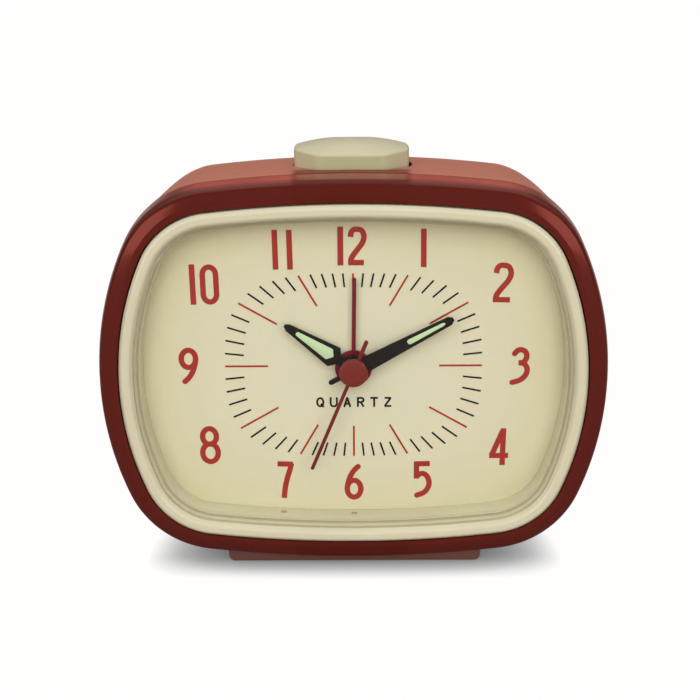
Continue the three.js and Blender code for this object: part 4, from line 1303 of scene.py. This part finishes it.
def coil():
    steps = int(COIL_TURNS * TURN_STEPS)
    rise = (spring_high - spring_low) / MM - 2 * WIRE_R
    verts = []
    for i in range(steps + 1):
        a = 2 * math.pi * COIL_TURNS * i / steps
        z = spring_low / MM + WIRE_R + rise * i / steps
        for x, up in circle(WIRE_R, WIRE_SIDES):
            reach = COIL_R + x
            verts.append(at(reach * math.cos(a), STEM_DEPTH + reach * math.sin(a), z + up))
    last = steps * WIRE_SIDES
    faces = grid_faces(steps + 1, WIRE_SIDES, False)
    faces += [tuple(range(WIRE_SIDES)), tuple(range(last + WIRE_SIDES - 1, last - 1, -1))]
    return make("snooze_coil", verts, faces, 60)


spring = coil()
dress(spring, "steel", "case", "steel", "snooze_spring")
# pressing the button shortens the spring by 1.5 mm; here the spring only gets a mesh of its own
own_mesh(spring)


# ------------------------------------------------------------------ studio, in metres
def floor_material():
    """a matt floor for bounced light; the camera sees white with contact shade"""
    mat = Mat("studio_floor")
    mat.surface({"Base Color": (0.27, 0.21, 0.18, 1), "Roughness": 0.9,
                 "Specular IOR Level": 0.1})
    stops = [(0.0, 0.06), (0.12, 0.2), (0.45, 0.41), (0.6, 0.57), (0.75, 0.76), (0.9, 0.91),
             (1.0, 1.0)]                            # (openness, brightness)
    shade = mat.ramp(mat.occlusion(0.0085, samples=12),
                     [(position, (v, v * 0.99, v * 0.985)) for position, v in stops])
    glow = mat.node("ShaderNodeEmission", {"Color": shade})
    ray = mat.node("ShaderNodeLightPath").outputs
    seen = mat.math("MAXIMUM", ray["Is Camera Ray"],
                    mat.math("MULTIPLY", ray["Is Glossy Ray"], 0.12))
    mat.output(mat.mix_shader(seen, mat.bsdf, glow))
    return mat.material


floor_mesh = bpy.data.meshes.new("floor")
floor_mesh.from_pydata([(-4, -4, 0), (4, -4, 0), (4, 4, 0), (-4, 4, 0)], [], [(0, 1, 2, 3)])
floor = bpy.data.objects.new("floor", floor_mesh)
bpy.context.scene.collection.objects.link(floor)
floor_mesh.materials.append(floor_material())


def build_world():
    """white to the camera, soft grey to matt surfaces, a warm ceiling behind to shiny ones"""
    world = bpy.data.worlds.new("studio")
    bpy.context.scene.world = world
    world.use_nodes = True
    world.node_tree.nodes.clear()
    sky = Nodes(world.node_tree)
    output = sky.node("ShaderNodeOutputWorld")
    direction = sky.split(sky.node("ShaderNodeTexCoord").outputs["Generated"])
    behind = sky.remap(direction["Y"], span=(-0.05, 0.45), to=(0.015, 0.75))
    above = sky.remap(direction["Z"], span=(0.30, 0.75), to=(0.14, 1.0))
    ceiling = sky.node("ShaderNodeBackground", {
        "Color": (1.0, 0.80, 0.72, 1), "Strength": sky.math("MULTIPLY", behind, above)})
    soft = sky.node("ShaderNodeBackground", {"Strength": 0.36})
    white = sky.node("ShaderNodeBackground", {"Strength": 1.0})
    ray = sky.node("ShaderNodeLightPath").outputs
    unseen = sky.mix_shader(ray["Is Glossy Ray"], soft, ceiling)
    shader = sky.mix_shader(ray["Is Camera Ray"], unseen, white)
    sky.feed(output, {"Surface": shader.outputs[0]})


build_world()


def area(name, location, size, power, shine=False):
    """panel aimed at the clock; it lights either reflections (shine) or matt surfaces"""
    light = bpy.data.lights.new(name, "AREA")
    light.shape = "RECTANGLE"
    light.size, light.size_y = size
    light.energy = power
    ob = bpy.data.objects.new(name, light)
    ob.location = location
    aim = Vector((0, 0, 0.045)) - Vector(location)
    ob.rotation_euler = aim.to_track_quat("-Z", "Y").to_euler()
    ob.visible_glossy = shine
    ob.visible_diffuse = not shine
    bpy.context.scene.collection.objects.link(ob)


area("front_fill", (0, -1.2, 0.50), size=(2.0, 1.5), power=23.0)
area("top_fill", (0, 0.1, 1.0), size=(0.9, 0.9), power=2.3)
area("back_fill", (0, 1.2, 0.60), size=(1.5, 1.0), power=9.0)
area("left_box", (-0.60, -0.56, 0.30), size=(0.50, 0.46), power=3.0, shine=True)
area("right_box", (0.60, -0.56, 0.30), size=(0.50, 0.46), power=3.0, shine=True)

# ------------------------------------------------------------------ camera
ELEVATION, AZIMUTH, ROLL = (math.radians(v) for v in (17.8, 0.41, -0.37))
CAMERA_DISTANCE = 448.95
TARGET_X, TARGET_ABOVE_AXIS = -0.75, 3.66           # aimed at this point of the dial
FOCAL_LENGTH = 105.2948571


def build_camera():
    back = Vector((math.sin(AZIMUTH) * math.cos(ELEVATION),
                   -math.cos(AZIMUTH) * math.cos(ELEVATION), math.sin(ELEVATION)))
    target = Vector(at(TARGET_X, DIAL_DEPTH, AXIS_Z + TARGET_ABOVE_AXIS))
    level = (-back).cross(Vector((0, 0, 1))).normalized()
    upward = level.cross(-back)
    right = level * math.cos(ROLL) + upward * math.sin(ROLL)
    up = -level * math.sin(ROLL) + upward * math.cos(ROLL)
    camera = bpy.data.cameras.new("camera")
    camera.sensor_width = 36.0
    camera.lens = FOCAL_LENGTH
    camera.clip_start, camera.clip_end = 0.01, 20.0
    ob = bpy.data.objects.new("camera", camera)
    ob.matrix_world = (Matrix.Translation(target + back * CAMERA_DISTANCE * MM)
                       @ Matrix((right, up, back)).transposed().to_4x4())
    bpy.context.scene.collection.objects.link(ob)
    bpy.context.scene.camera = ob


build_camera()
bpy.context.scene.view_settings.view_transform = "Standard"
bpy.context.scene.view_settings.look = "None"
